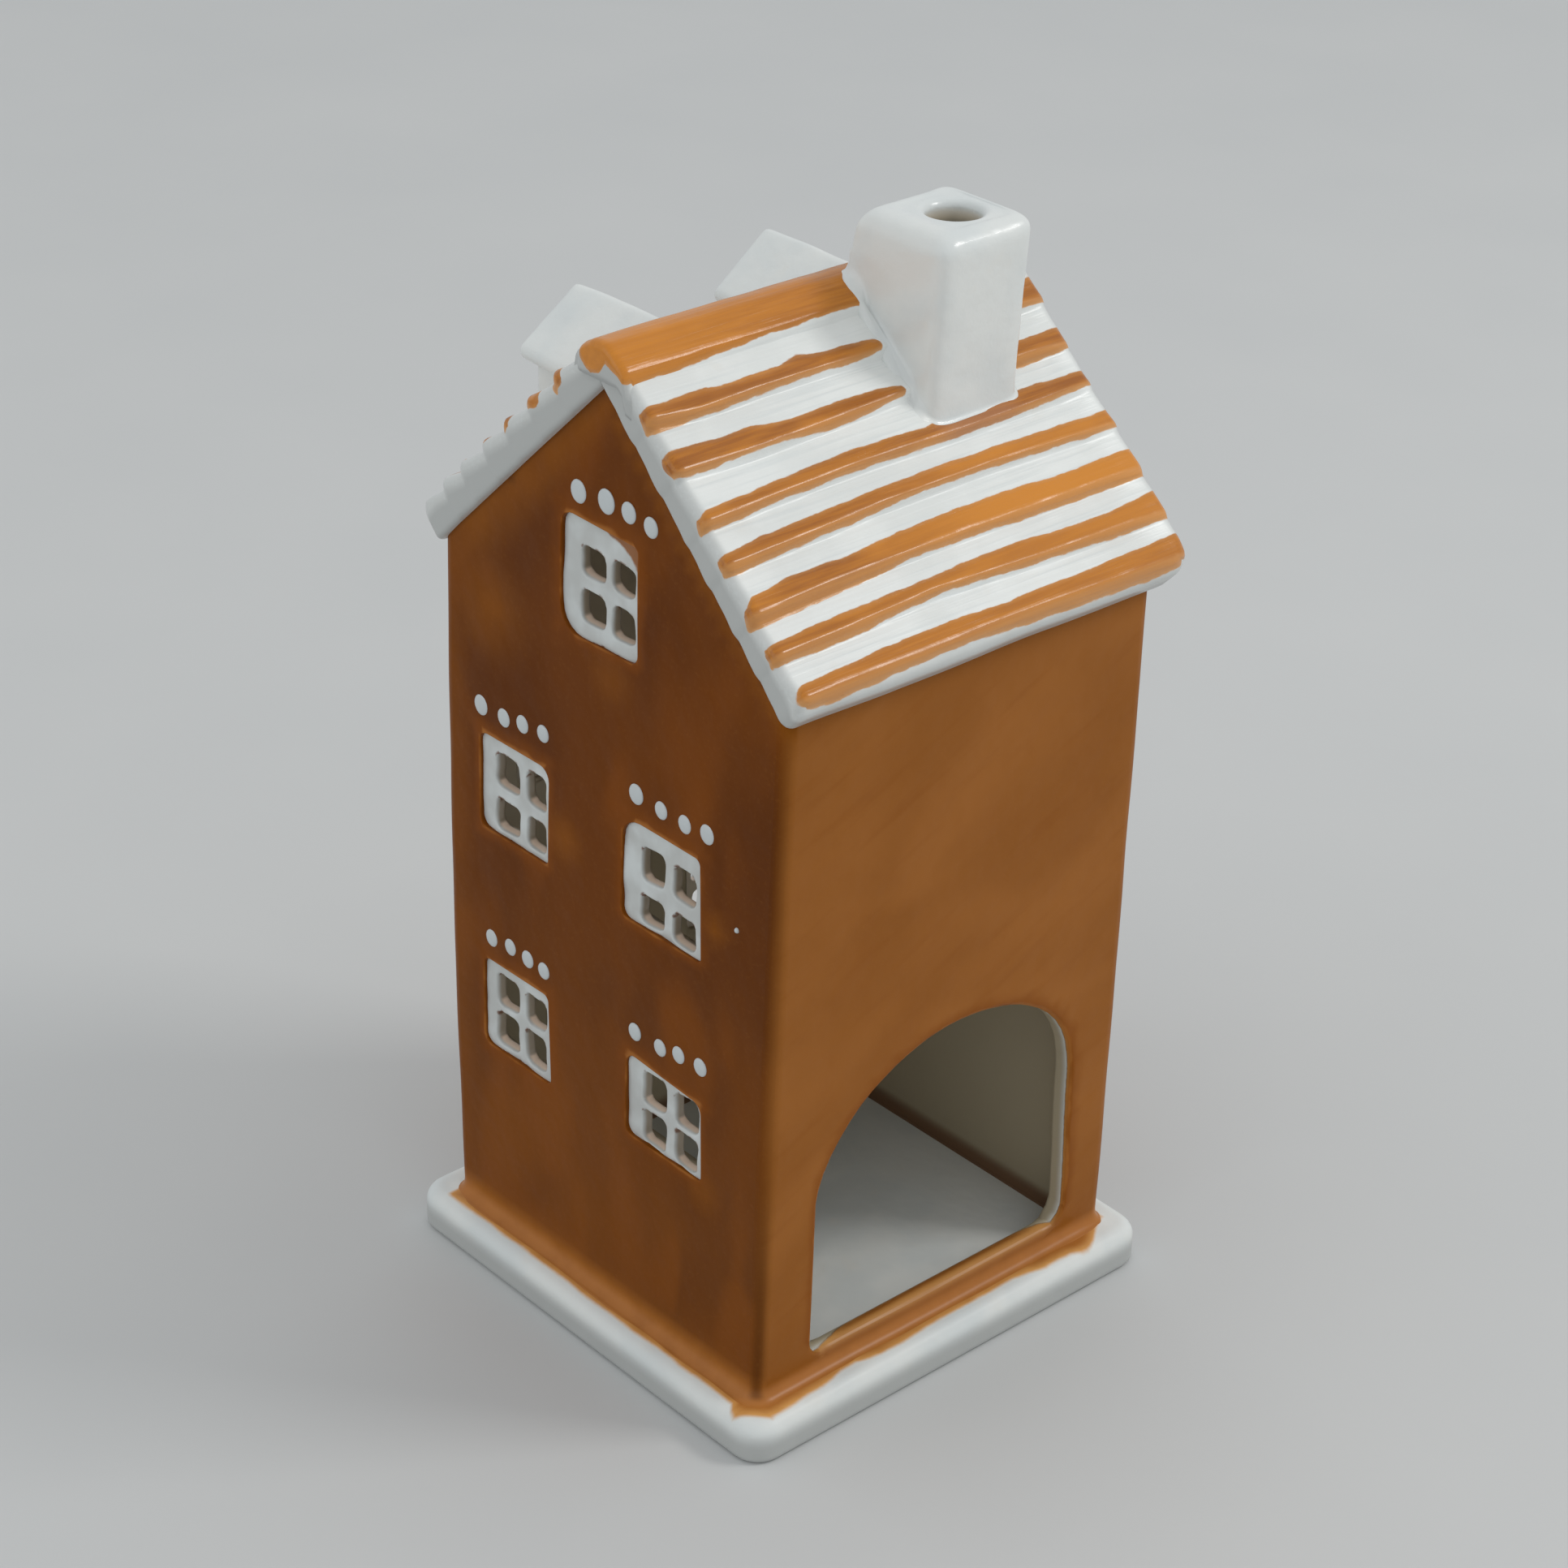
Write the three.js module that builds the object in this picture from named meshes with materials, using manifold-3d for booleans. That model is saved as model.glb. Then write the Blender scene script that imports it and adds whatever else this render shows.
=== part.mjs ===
// House candle holder: a slab-built, glazed earthenware tealight house.
// Millimetres, +Z up, origin at the centre of the base plate's underside.
// The windowed gable faces -Y, the tealight arch faces +X and the ridge runs along Y.
import * as THREE from 'three';
import { mergeVertices } from 'three/addons/utils/BufferGeometryUtils.js';
import Module from 'manifold-3d';

const wasm = await Module();
wasm.setup();

// Driving dimensions
const fit = 0.3; // clearance where one clay part is cut to its neighbour
const plate = { width: 81.2, depth: 80.8, height: 6.9, corner: 4.6, topEdge: 2.4, footEdge: 1.2 };
const house = { halfX: 35.2, halfY: 35.6, wall: 3.5, corner: 2, top: 154 };
const flare = { x: 1.85, y: -1.3, height: 110 }; // how far the walls lean out by the eaves
const arch = { left: -25, right: 26.2, sill: 10.4, foot: 9.5, spring: 36, rise: 21.4, corner: 2.4 };
const roof = {
  pitch: THREE.MathUtils.degToRad(43.7), apex: 152.5, apexFill: 2.2,
  near: -35.2, far: 37, courses: 7, firstLip: 7.9, coursePitch: 7,
  valley: 5.2, lip: 6.3, end: 52.5, mitre: 0.15, ridgeFlat: 157.2,
};
const cap = { edge: 2.5, inner: 5.3, outer: 6.5, ridge: 159.1, flat: 157.5, proud: 0.4 };
const chimney = {
  x: 11.1, y: 15.6, width: 18.4, depth: 17, top: 168.7, foot: 140, edge: 2.2,
  taper: 0.93, leanX: -0.8, leanY: 0.4,
};
const flue = { x: 10.8, y: 17.4, radius: 4.3, rim: 1.1 };
const dormer = {
  centre: 17.5, front: 26, wall: 2.4, halfWidth: 8, roofHalf: 9.2, apex: 152.8, slope: 0.755,
  roofFront: 27.5, roofRise: 2.5, openingEnd: 13, windowZ: 143.2,
};
const pane = { width: 4.7, height: 4.8, muntin: 1.9, corner: 1 };
const smallPane = { width: 2.6, height: 2.4, muntin: 1.1, corner: 0.6 };
const panel = { corner: 2.2, recess: 0.8, thickness: 1.6, lip: 1.1 };

// Windows in the gables: centre along the wall, centre height, width, height, and how far the
// four panes sit to the side of and below the panel's middle
const gableWindows = [
  { at: -1.7, z: 122.4, w: 16.4, h: 18, side: 1.1, low: 0.7 },
  { at: -20.3, z: 82.3, w: 15.6, h: 15.5, side: 0.6, low: 0.8 },
  { at: 12.2, z: 82, w: 17.2, h: 16, side: 1, low: 1.1 },
  { at: -20, z: 44.8, w: 15.2, h: 15, side: 0.3, low: 0.5 },
  { at: 13.5, z: 44.9, w: 16.7, h: 14.4, side: 0.8, low: 0.5 },
];
const backWindows = gableWindows.slice(0, 3); // the far gable is plain below its middle row
const frontWindows = [45, 82.3].flatMap((z) => [-16.4, 16.4]
  .map((at) => ({ at, z, w: 15.6, h: 15.2, side: 0, low: 0.6 })));
const dormerWindow = { w: 9.2, h: 8.2, side: 0, low: 0.2 };

const glaze = {
  brown: new THREE.MeshStandardMaterial({ color: 0x9c5a28, roughness: 0.3, metalness: 0 }),
  amber: new THREE.MeshStandardMaterial({ color: 0xb8691f, roughness: 0.3, metalness: 0 }),
  white: new THREE.MeshStandardMaterial({ color: 0xdfe2df, roughness: 0.32, metalness: 0 }),
};

// Solids from closed three.js geometries
function solid(geometry) {
  geometry.deleteAttribute('normal');
  geometry.deleteAttribute('uv');
  const merged = mergeVertices(geometry, 1e-4);
  return new wasm.Manifold(new wasm.Mesh({
    numProp: 3,
    vertProperties: new Float32Array(merged.attributes.position.array),
    triVerts: new Uint32Array(merged.index.array),
  }));
}

function piece(name, body, material) {
  const { vertProperties, triVerts } = body.getMesh();
  const geometry = new THREE.BufferGeometry();
  geometry.setAttribute('position', new THREE.BufferAttribute(new Float32Array(vertProperties), 3));
  geometry.setIndex(new THREE.BufferAttribute(new Uint32Array(triVerts), 1));
  geometry.computeVertexNormals();
  const mesh = new THREE.Mesh(geometry, material);
  mesh.name = name;
  return mesh;
}

// Extrusions of an outline along each axis, between two places on it
function extrude(shape, from, to, axes, options = {}) {
  const settings = { depth: to - from, bevelEnabled: false, curveSegments: 3, ...options };
  const geometry = new THREE.ExtrudeGeometry(shape, settings);
  geometry.translate(0, 0, from);
  return geometry.applyMatrix4(new THREE.Matrix4().makeBasis(...axes.map((a) => new THREE.Vector3(...a))));
}
const upZ = [[1, 0, 0], [0, 1, 0], [0, 0, 1]];
const alongX = [[0, 1, 0], [0, 0, 1], [1, 0, 0]];
const alongY = [[-1, 0, 0], [0, 0, 1], [0, 1, 0]]; // the outline's first coordinate is -x

function outline(points) {
  return new THREE.Shape(points.map(([a, b]) => new THREE.Vector2(a, b)));
}

function roundedRect(width, height, radius, cx = 0, cy = 0, Kind = THREE.Shape) {
  const [x, y] = [width / 2 - radius, height / 2 - radius];
  const shape = new Kind();
  shape.absarc(cx + x, cy + y, radius, 0, Math.PI / 2);
  shape.absarc(cx - x, cy + y, radius, Math.PI / 2, Math.PI);
  shape.absarc(cx - x, cy - y, radius, Math.PI, Math.PI * 1.5);
  shape.absarc(cx + x, cy - y, radius, Math.PI * 1.5, Math.PI * 2);
  shape.closePath();
  return shape;
}

// The walls lean: wider across the arch side and narrower across the gables towards the eaves
function lean(geometry) {
  const p = geometry.attributes.position;
  for (let i = 0; i < p.count; i += 1) {
    const t = (p.getZ(i) - plate.height) / flare.height;
    p.setX(i, p.getX(i) * (1 + (flare.x / house.halfX) * t));
    p.setY(i, p.getY(i) * (1 + (flare.y / house.halfY) * t));
  }
  return geometry;
}

// A profile in the plane across the roof: s runs down the slope, n stands off its underside
function onSlope(s, n) {
  const [c, d] = [Math.cos(roof.pitch), Math.sin(roof.pitch)];
  return [s * c + n * d, roof.apex - s * d + n * c];
}
const drop = Math.tan(roof.pitch);
const lips = Array.from({ length: roof.courses }, (_, k) => roof.firstLip + k * roof.coursePitch);

// Stepped courses from the ridge down: each rises slowly from the last lip to its own rounded lip
function courseTops(raise = 0, shift = 0) {
  return lips.flatMap((s) => [
    onSlope(s - 1.3 + shift, roof.lip - 0.05 + raise),
    onSlope(s - 0.6 + shift, roof.lip + raise),
    onSlope(s - 0.15 + shift, roof.lip - 0.25 + raise),
    onSlope(s + shift, roof.lip - 0.6 + raise),
    onSlope(s + shift, roof.valley + raise),
  ]);
}

function slabProfile() {
  const flatHalf = (roof.apex + roof.valley / Math.cos(roof.pitch) - 0.3 - roof.ridgeFlat) / drop;
  return [
    [roof.mitre, roof.apex - roof.apexFill], [roof.mitre, roof.ridgeFlat], [flatHalf, roof.ridgeFlat],
    onSlope(cap.edge - 0.2, roof.valley - 0.2), onSlope(cap.edge + 0.3, roof.valley),
    ...courseTops(),
    onSlope(roof.end - 1.3, roof.valley - 0.4), onSlope(roof.end - 0.4, roof.valley - 1.2),
    onSlope(roof.end, roof.valley - 2.4), onSlope(roof.end, 1.5), onSlope(roof.end - 0.5, 0.4),
    onSlope(roof.end - 1.5, 0), [roof.apexFill / drop, roof.apex - roof.apexFill],
  ];
}

// side is +1 for the arch side and -1 for the dormer side
function acrossRoof(points, side, from, to) {
  return solid(extrude(outline(points.map(([x, z]) => [-side * x, z])), from, to, alongY));
}

function roofSlab(side) {
  return acrossRoof(slabProfile(), side, roof.near, roof.far);
}

// Everything under the courses, grown by the clearance, that a chimney or dormer foot is cut to
function underCourses(side) {
  const ridge = [[-1, 100], [-1, roof.ridgeFlat + fit], [2.4, roof.ridgeFlat + fit]];
  const top = onSlope(cap.edge, roof.valley + fit);
  const skirt = onSlope(roof.end, roof.valley);
  return acrossRoof([...ridge, top, ...courseTops(fit, fit), skirt, [skirt[0], 100]], side, -60, 60);
}

function capProfile(grow = 0) {
  const outer = cap.outer + grow;
  const radius = (roof.apex + cap.outer / Math.cos(roof.pitch) - cap.ridge) / (1 / Math.cos(roof.pitch) - 1);
  const centre = cap.ridge - radius;
  const arc = Array.from({ length: 9 }, (_, i) => {
    const angle = roof.pitch * (1 - i / 4);
    return [(radius + grow) * Math.sin(angle), centre + (radius + grow) * Math.cos(angle)];
  });
  const right = [
    onSlope(cap.edge + grow, cap.inner - grow), onSlope(cap.edge + grow, cap.outer - 0.6),
    onSlope(cap.edge - 0.5 + grow, outer),
  ];
  const left = right.map(([x, z]) => [-x, z]).reverse();
  const flatHalf = (roof.apex + cap.inner / Math.cos(roof.pitch) - cap.flat) / drop;
  return [...right, ...arc, ...left, [-flatHalf, cap.flat - grow], [flatHalf, cap.flat - grow]];
}

function ridgeCap(grow = 0) {
  return acrossRoof(capProfile(grow), 1, roof.near - cap.proud, roof.far + cap.proud);
}

// The space that the walls may fill, up to the roof's underside less the clearance
function underRoof() {
  const z = roof.apex - fit / Math.cos(roof.pitch);
  const flat = roof.apex - roof.apexFill - fit;
  const inner = (z - flat) / drop;
  const points = [[-60, 0], [-60, z - 60 * drop], [-inner, flat], [inner, flat], [60, z - 60 * drop], [60, 0]];
  return acrossRoof(points, 1, -60, 60);
}

// Windows: a recess outside, a lattice panel seated on a lip, and a through opening behind it
function windowCut({ at, z, w, h }, face, axes) {
  const seat = panel.recess + panel.thickness;
  const hole = (width, height, radius, a, b) =>
    solid(lean(extrude(roundedRect(width, height, radius, at, z), -face + a, -face + b, axes)));
  return hole(w, h, panel.corner, -3, seat)
    .add(hole(w - 2 * panel.lip, h - 2 * panel.lip, panel.corner - 0.8, seat - 0.5, house.wall + 3));
}

// A panel outline pierced by four panes with rounded corners
function latticeOutline({ at, z, w, h, side, low }, corner, panes) {
  const shape = roundedRect(w - 2 * fit, h - 2 * fit, corner, at, z);
  for (const column of [-1, 1]) {
    for (const row of [-1, 1]) {
      const x = at + side + column * (panes.width + panes.muntin) / 2;
      const y = z - low + row * (panes.height + panes.muntin) / 2;
      shape.holes.push(roundedRect(panes.width, panes.height, panes.corner, x, y, THREE.Path));
    }
  }
  return shape;
}

// Along Y an outline's first coordinate is -x, so a gable's window is drawn mirrored
function mirrored(window) {
  return { ...window, at: -window.at, side: -window.side };
}

function lattice(window, face, axes) {
  const front = -face + panel.recess;
  const shape = latticeOutline(window, panel.corner, pane);
  return solid(lean(extrude(shape, front, front + panel.thickness, axes, { curveSegments: 2 })));
}

function halfTurn(body) {
  return body.rotate([0, 0, 180]);
}

// A rounded block: an outline grown by its own edge radius at both ends
function roundedBlock(width, depth, corner, edge, from, to) {
  const shape = roundedRect(width - 2 * edge, depth - 2 * edge, corner - edge);
  const bevel = { bevelEnabled: true, bevelSize: edge, bevelThickness: edge, bevelSegments: 4, curveSegments: 5 };
  return extrude(shape, from + edge, to - edge, upZ, bevel);
}

// The plate's upper edge is softer than its foot, so two blocks are cut to each other
function basePlate() {
  const { width, depth, height, corner, topEdge, footEdge } = plate;
  const upper = roundedBlock(width, depth, corner, topEdge, -2 * topEdge, height);
  const lower = roundedBlock(width, depth, corner, footEdge, 0, 2 * height);
  return solid(upper).intersect(solid(lower));
}

// A gable wall in plan, with its outer corners rounded, stood up, leaned and cut to the roof
function gableWall(windows) {
  const { halfX, halfY, wall, corner } = house;
  const plan = new THREE.Shape();
  plan.moveTo(halfX, -halfY + wall);
  plan.lineTo(-halfX, -halfY + wall);
  plan.absarc(-halfX + corner, -halfY + corner, corner, Math.PI, Math.PI * 1.5);
  plan.absarc(halfX - corner, -halfY + corner, corner, Math.PI * 1.5, Math.PI * 2);
  let body = solid(lean(extrude(plan, plate.height, house.top, upZ))).intersect(underRoof());
  for (const w of windows) {
    body = body.subtract(windowCut(mirrored(w), house.halfY, alongY));
  }
  return body;
}

function longWall(side) {
  const { halfX, halfY, wall } = house;
  const end = halfY - wall - fit;
  const [a, b] = side > 0 ? [halfX - wall, halfX] : [-halfX, -halfX + wall];
  const plan = outline([[a, -end], [b, -end], [b, end], [a, end]]);
  return solid(lean(extrude(plan, plate.height, house.top, upZ))).intersect(underRoof());
}

// The arch: upright jambs, a half ellipse over them and rounded lower corners
function archOpening() {
  const { left, right, foot, spring, rise, corner } = arch;
  const shape = new THREE.Shape();
  shape.moveTo(right, spring);
  shape.absellipse((left + right) / 2, spring, (right - left) / 2, rise, 0, Math.PI, false, 0);
  shape.lineTo(left, foot + corner);
  shape.absarc(left + corner, foot + corner, corner, Math.PI, Math.PI * 1.5);
  shape.absarc(right - corner, foot + corner, corner, Math.PI * 1.5, Math.PI * 2);
  return solid(extrude(shape, house.halfX - house.wall - 2, house.halfX + 6, alongX, { curveSegments: 20 }));
}

// The sill under the arch has a half-round top as thick as the wall
function sillBead() {
  const { left, right, sill } = arch;
  const radius = house.wall / 2 - 0.15;
  const [centre, z] = [house.halfX - house.wall / 2, sill - radius];
  const shape = new THREE.Shape();
  shape.moveTo(-centre + radius, z - 1);
  shape.absarc(-centre, z, radius, 0, Math.PI);
  shape.lineTo(-centre - radius, z - 1);
  return solid(lean(extrude(shape, left - 1, right + 1, alongY, { curveSegments: 8 })));
}

function archWall() {
  return longWall(1).subtract(archOpening()).add(sillBead());
}

function frontWall() {
  return frontWindows.reduce(
    (body, w) => body.subtract(windowCut(w, house.halfX, alongX)), longWall(-1));
}

// The chimney: a rounded square block, a little wider at its rim, with its foot cut to the courses
function chimneyBlock() {
  const { x, y, width, depth, top, foot, edge, taper, leanX, leanY } = chimney;
  const geometry = roundedBlock(width, depth, edge + 0.6, edge, foot - 10, top);
  const p = geometry.attributes.position;
  for (let i = 0; i < p.count; i += 1) {
    const t = Math.min(1, (top - p.getZ(i)) / (top - foot));
    const scale = 1 + (taper - 1) * t;
    p.setXYZ(i, x + leanX * t + p.getX(i) * scale, y + leanY * t + p.getY(i) * scale, p.getZ(i));
  }
  return solid(geometry).subtract(flueBore()).subtract(underCourses(1)).subtract(ridgeCap(fit));
}

function flueBore() {
  const { radius, rim } = flue;
  const { top } = chimney;
  const profile = [
    [0, 120], [radius, 120], [radius, top - rim], [radius + 0.3 * rim, top - 0.35 * rim],
    [radius + rim, top], [radius + rim, top + 2], [0, top + 2],
  ];
  const geometry = new THREE.LatheGeometry(profile.map(([r, z]) => new THREE.Vector2(r, z)), 24);
  geometry.rotateX(Math.PI / 2);
  return solid(geometry.translate(flue.x, flue.y, 0));
}

// A gabled prism along X over a dormer's centre line
function dormerPrism(at, half, apex, bottom, from, to) {
  const eave = apex - dormer.slope * half;
  const points = [[at - half, bottom], [at + half, bottom], [at + half, eave], [at, apex], [at - half, eave]];
  return solid(extrude(outline(points), from, to, alongX));
}

function dormerBody(at) {
  const { front, wall, halfWidth, apex, slope, windowZ } = dormer;
  const grow = Math.hypot(1, slope);
  const inner = apex - fit * grow - wall * grow;
  const shell = dormerPrism(at, halfWidth, apex - fit * grow, 110, -front, -3)
    .subtract(dormerPrism(at, halfWidth - wall, inner, 100, -front + wall, 0))
    .subtract(underCourses(-1));
  return shell.subtract(dormerWindowCut(at, windowZ));
}

function dormerWindowCut(at, z) {
  const { w, h } = dormerWindow;
  const hole = (width, height, radius, a, b) =>
    solid(extrude(roundedRect(width, height, radius, at, z), -dormer.front + a, -dormer.front + b, alongX));
  return hole(w, h, 1.4, -3, 1.4).add(hole(w - 1.6, h - 1.6, 0.9, 1, dormer.wall + 2));
}

function dormerLattice(at) {
  const shape = latticeOutline({ ...dormerWindow, at, z: dormer.windowZ }, 1.4, smallPane);
  return solid(extrude(shape, -dormer.front + 0.4, -dormer.front + 1.4, alongX, { curveSegments: 2 }));
}

function dormerRoof(at) {
  const { roofHalf, apex, slope, roofRise, roofFront } = dormer;
  const low = apex - slope * roofHalf;
  const ridge = apex + roofRise;
  const points = [
    [at, apex], [at + roofHalf, low], [at + roofHalf + 0.9, low + 0.7], [at + roofHalf + 0.7, low + 1.7],
    [at + 1.8, ridge - slope * 1.8], [at + 0.7, ridge - 0.75], [at, ridge - 0.6],
    [at - 0.7, ridge - 0.75], [at - 1.8, ridge - slope * 1.8],
    [at - roofHalf - 0.7, low + 1.7], [at - roofHalf - 0.9, low + 0.7], [at - roofHalf, low],
  ];
  return solid(extrude(outline(points), -roofFront, -1.5, alongX))
    .subtract(underCourses(-1)).subtract(ridgeCap(fit));
}

// The opening in the roof under a dormer, flush with the dormer's inner faces
function dormerOpening(at) {
  const half = dormer.halfWidth - dormer.wall;
  const points = [[at - half, 110], [at + half, 110], [at + half, 165], [at - half, 165]];
  return solid(extrude(outline(points), -dormer.front + dormer.wall, -dormer.openingEnd, alongX));
}

const group = new THREE.Group();
group.name = 'house_candle_holder';
const add = (name, body, material) => group.add(piece(name, body, material));

add('base_plate', basePlate(), glaze.white);
add('window_gable_wall', gableWall(gableWindows), glaze.brown);
add('back_gable_wall', halfTurn(gableWall(backWindows)), glaze.brown);
add('arch_wall', archWall(), glaze.brown);
add('front_wall', frontWall(), glaze.brown);
add('roof_slab_arch_side', roofSlab(1).subtract(flueBore()), glaze.white);
const dormers = { near: -dormer.centre, far: dormer.centre };
const dormerSide = Object.values(dormers).reduce((body, at) => body.subtract(dormerOpening(at)), roofSlab(-1));
add('roof_slab_dormer_side', dormerSide, glaze.white);
add('ridge_cap', ridgeCap(), glaze.amber);
add('chimney', chimneyBlock(), glaze.white);
for (const [which, at] of Object.entries(dormers)) {
  add(`dormer_${which}_body`, dormerBody(at), glaze.white);
  add(`dormer_${which}_roof`, dormerRoof(at), glaze.white);
  add(`dormer_window_${which}`, dormerLattice(at), glaze.white);
}
gableWindows.forEach((w, i) => {
  add(`gable_window_${i + 1}`, lattice(mirrored(w), house.halfY, alongY), glaze.white);
});
backWindows.forEach((w, i) => {
  add(`back_window_${i + 1}`, halfTurn(lattice(mirrored(w), house.halfY, alongY)), glaze.white);
});
frontWindows.forEach((w, i) => {
  add(`front_window_${i + 1}`, lattice(w, house.halfX, alongX), glaze.white);
});

export default group;
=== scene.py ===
import math
import bpy
import bmesh
from mathutils import Matrix, Vector, noise

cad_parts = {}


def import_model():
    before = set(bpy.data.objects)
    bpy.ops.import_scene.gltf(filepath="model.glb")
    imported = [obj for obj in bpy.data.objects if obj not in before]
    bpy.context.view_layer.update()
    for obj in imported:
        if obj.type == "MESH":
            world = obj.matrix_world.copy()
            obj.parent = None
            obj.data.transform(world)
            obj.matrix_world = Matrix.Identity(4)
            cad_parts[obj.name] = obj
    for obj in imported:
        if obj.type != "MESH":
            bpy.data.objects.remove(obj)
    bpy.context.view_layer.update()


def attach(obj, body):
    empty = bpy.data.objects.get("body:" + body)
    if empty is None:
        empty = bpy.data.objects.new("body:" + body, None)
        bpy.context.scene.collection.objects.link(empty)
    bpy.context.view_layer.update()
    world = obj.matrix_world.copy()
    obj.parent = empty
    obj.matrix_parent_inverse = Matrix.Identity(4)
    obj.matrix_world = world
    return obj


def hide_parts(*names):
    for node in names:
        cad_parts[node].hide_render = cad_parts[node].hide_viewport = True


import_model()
studio = bpy.context.scene

# Shapes are made in millimetres in the model's own frame, and turned to metres as each piece is finished


def step(value, low, high):
    t = min(1.0, max(0.0, (value - low) / (high - low)))
    return t * t * (3 - 2 * t)


def along(line, place):  # reads a line of measured points at a place along it
    if place <= line[0][0]:
        return line[0][1]
    for (a, b), (c, d) in zip(line, line[1:]):
        if place <= c:
            return b + (d - b) * (place - a) / (c - a)
    return line[-1][1]


def wobble(a, b, seed, scale=0.1):
    return noise.noise(Vector((a * scale, b * scale, seed * 7.31)))


def roundDrop(inward, radius):  # how far a rounded edge falls below its flat
    if inward >= radius:
        return 0.0
    return radius - math.sqrt(max(0.0, radius ** 2 - (radius - inward) ** 2))


def spread(first, last, pitch):
    count = max(1, round((last - first) / pitch))
    return [first + (last - first) * i / count for i in range(count + 1)]


def everything(bm):
    return bm.verts[:] + bm.edges[:] + bm.faces[:]


def newVerts(geom):
    return [part for part in geom if isinstance(part, bmesh.types.BMVert)]


def rimEdges(bm):
    return [e for e in bm.edges if e.is_boundary]


def middleOf(edge):
    return (edge.verts[0].co + edge.verts[1].co) / 2


def outward(bm):
    bmesh.ops.recalc_face_normals(bm, faces=bm.faces)
    return bm


def turned(bm, angle):  # about the upright axis
    bmesh.ops.rotate(bm, verts=bm.verts, cent=(0, 0, 0), matrix=Matrix.Rotation(angle, 3, "Z"))
    return bm


def smoothed(bm, verts):
    bmesh.ops.smooth_vert(bm, verts=verts, factor=0.5, use_axis_x=True, use_axis_y=True, use_axis_z=True)


def block(low, high):
    bm = bmesh.new()
    bmesh.ops.create_cube(bm, size=1)
    bmesh.ops.scale(bm, vec=[b - a for a, b in zip(low, high)], verts=bm.verts)
    bmesh.ops.translate(bm, vec=[(a + b) / 2 for a, b in zip(low, high)], verts=bm.verts)
    return bm


def slices(bm, axis, places):
    direction = Vector([float(i == axis) for i in range(3)])
    for place in places:
        bmesh.ops.bisect_plane(bm, geom=everything(bm), dist=1e-4, plane_co=direction * place, plane_no=direction)


def edgeRows(low, high, insets, pitch):  # places to cut, close together at both edges
    between = spread(low + insets[-1], high - insets[-1], pitch)[1:-1]
    return [low + k for k in insets] + between + [high - k for k in reversed(insets)]


def prism(outline, low, high, axis):  # an outline stood in a plane and drawn out along an axis
    bm = bmesh.new()
    corners = []
    for a, b in outline:
        place = [a, b]
        place.insert(axis, low)
        corners.append(bm.verts.new(place))
    base = bm.faces.new(corners)
    drawn = bmesh.ops.extrude_face_region(bm, geom=[base])["geom"]
    shift = [0.0, 0.0, 0.0]
    shift[axis] = high - low
    bmesh.ops.translate(bm, vec=shift, verts=newVerts(drawn))
    return outward(bm)


def soften(bm, edges, width, segments=3):
    edges = [e for e in edges if e.is_valid]
    if edges:
        bmesh.ops.bevel(bm, geom=edges, offset=width, offset_type="OFFSET", affect="EDGES", segments=segments,
                        profile=0.5, material=-1, clamp_overlap=True)


def sharpEdges(bm, test):  # the test is given each edge's middle
    least = math.radians(35)
    return [e for e in bm.edges if len(e.link_faces) == 2 and e.calc_face_angle(0) > least and test(middleOf(e))]


def meshFrom(bm, name):
    mesh = bpy.data.meshes.new(name)
    bm.to_mesh(mesh)
    bm.free()
    return mesh


def addObject(name, data):
    thing = bpy.data.objects.new(name, data)
    studio.collection.objects.link(thing)
    return thing


def takeBack(body, *others):  # the scratch body's finished mesh
    finished = body.evaluated_get(bpy.context.evaluated_depsgraph_get())
    result = bmesh.new()
    result.from_mesh(finished.to_mesh())
    finished.to_mesh_clear()
    for thing in (body, *others):
        mesh = thing.data
        bpy.data.objects.remove(thing)
        bpy.data.meshes.remove(mesh)
    return result


def carve(bm, cutter):
    body = addObject("carved", meshFrom(bm, "carved"))
    tool = addObject("cutter", meshFrom(cutter, "cutter"))
    cut = body.modifiers.new("carve", "BOOLEAN")
    cut.operation = "DIFFERENCE"
    cut.solver = "EXACT"
    cut.object = tool
    return takeBack(body, tool)


def wornClay(bm, cell, rounds):  # skins the clay in even cells and wears its edges down
    body = addObject("clay", meshFrom(bm, "clay"))
    skin = body.modifiers.new("skin", "REMESH")
    skin.mode = "VOXEL"
    skin.voxel_size = cell
    result = takeBack(body)
    for _ in range(rounds):
        smoothed(result, result.verts)
    return result


def keepMarks(bm, names):
    return {name: bm.verts.layers.float.new(name) for name in names}


def record(v, marks, **values):  # keeps values on a point of the mesh, for its glaze to read
    for name, value in values.items():
        v[marks[name]] = value


def makePiece(name, bm, material, replaced=(), weighted=False):
    bmesh.ops.scale(bm, vec=(0.001, 0.001, 0.001), verts=bm.verts)
    mesh = meshFrom(bm, name)
    mesh.shade_smooth()
    mesh.materials.append(material)
    piece = addObject(name, mesh)
    if weighted:
        flats = piece.modifiers.new("flats", "WEIGHTED_NORMAL")
        flats.weight = 100
        flats.thresh = 0.2
    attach(piece, "root")
    if replaced:
        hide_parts(*replaced)
    print(f"{name}: {len(mesh.polygons)} faces")


# Glazes


class Value:  # a socket that can stand in an expression
    def __init__(self, glaze, socket):
        self.glaze = glaze
        self.socket = socket

    def sum(self, other):
        return self.glaze.maths("ADD", self, other)

    def less(self, other):
        return self.glaze.maths("SUBTRACT", self, other)

    def lessFrom(self, other):
        return self.glaze.maths("SUBTRACT", other, self)

    def times(self, other):
        return self.glaze.maths("MULTIPLY", self, other)

    __add__ = __radd__ = sum
    __sub__ = less
    __rsub__ = lessFrom
    __mul__ = __rmul__ = times


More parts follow.
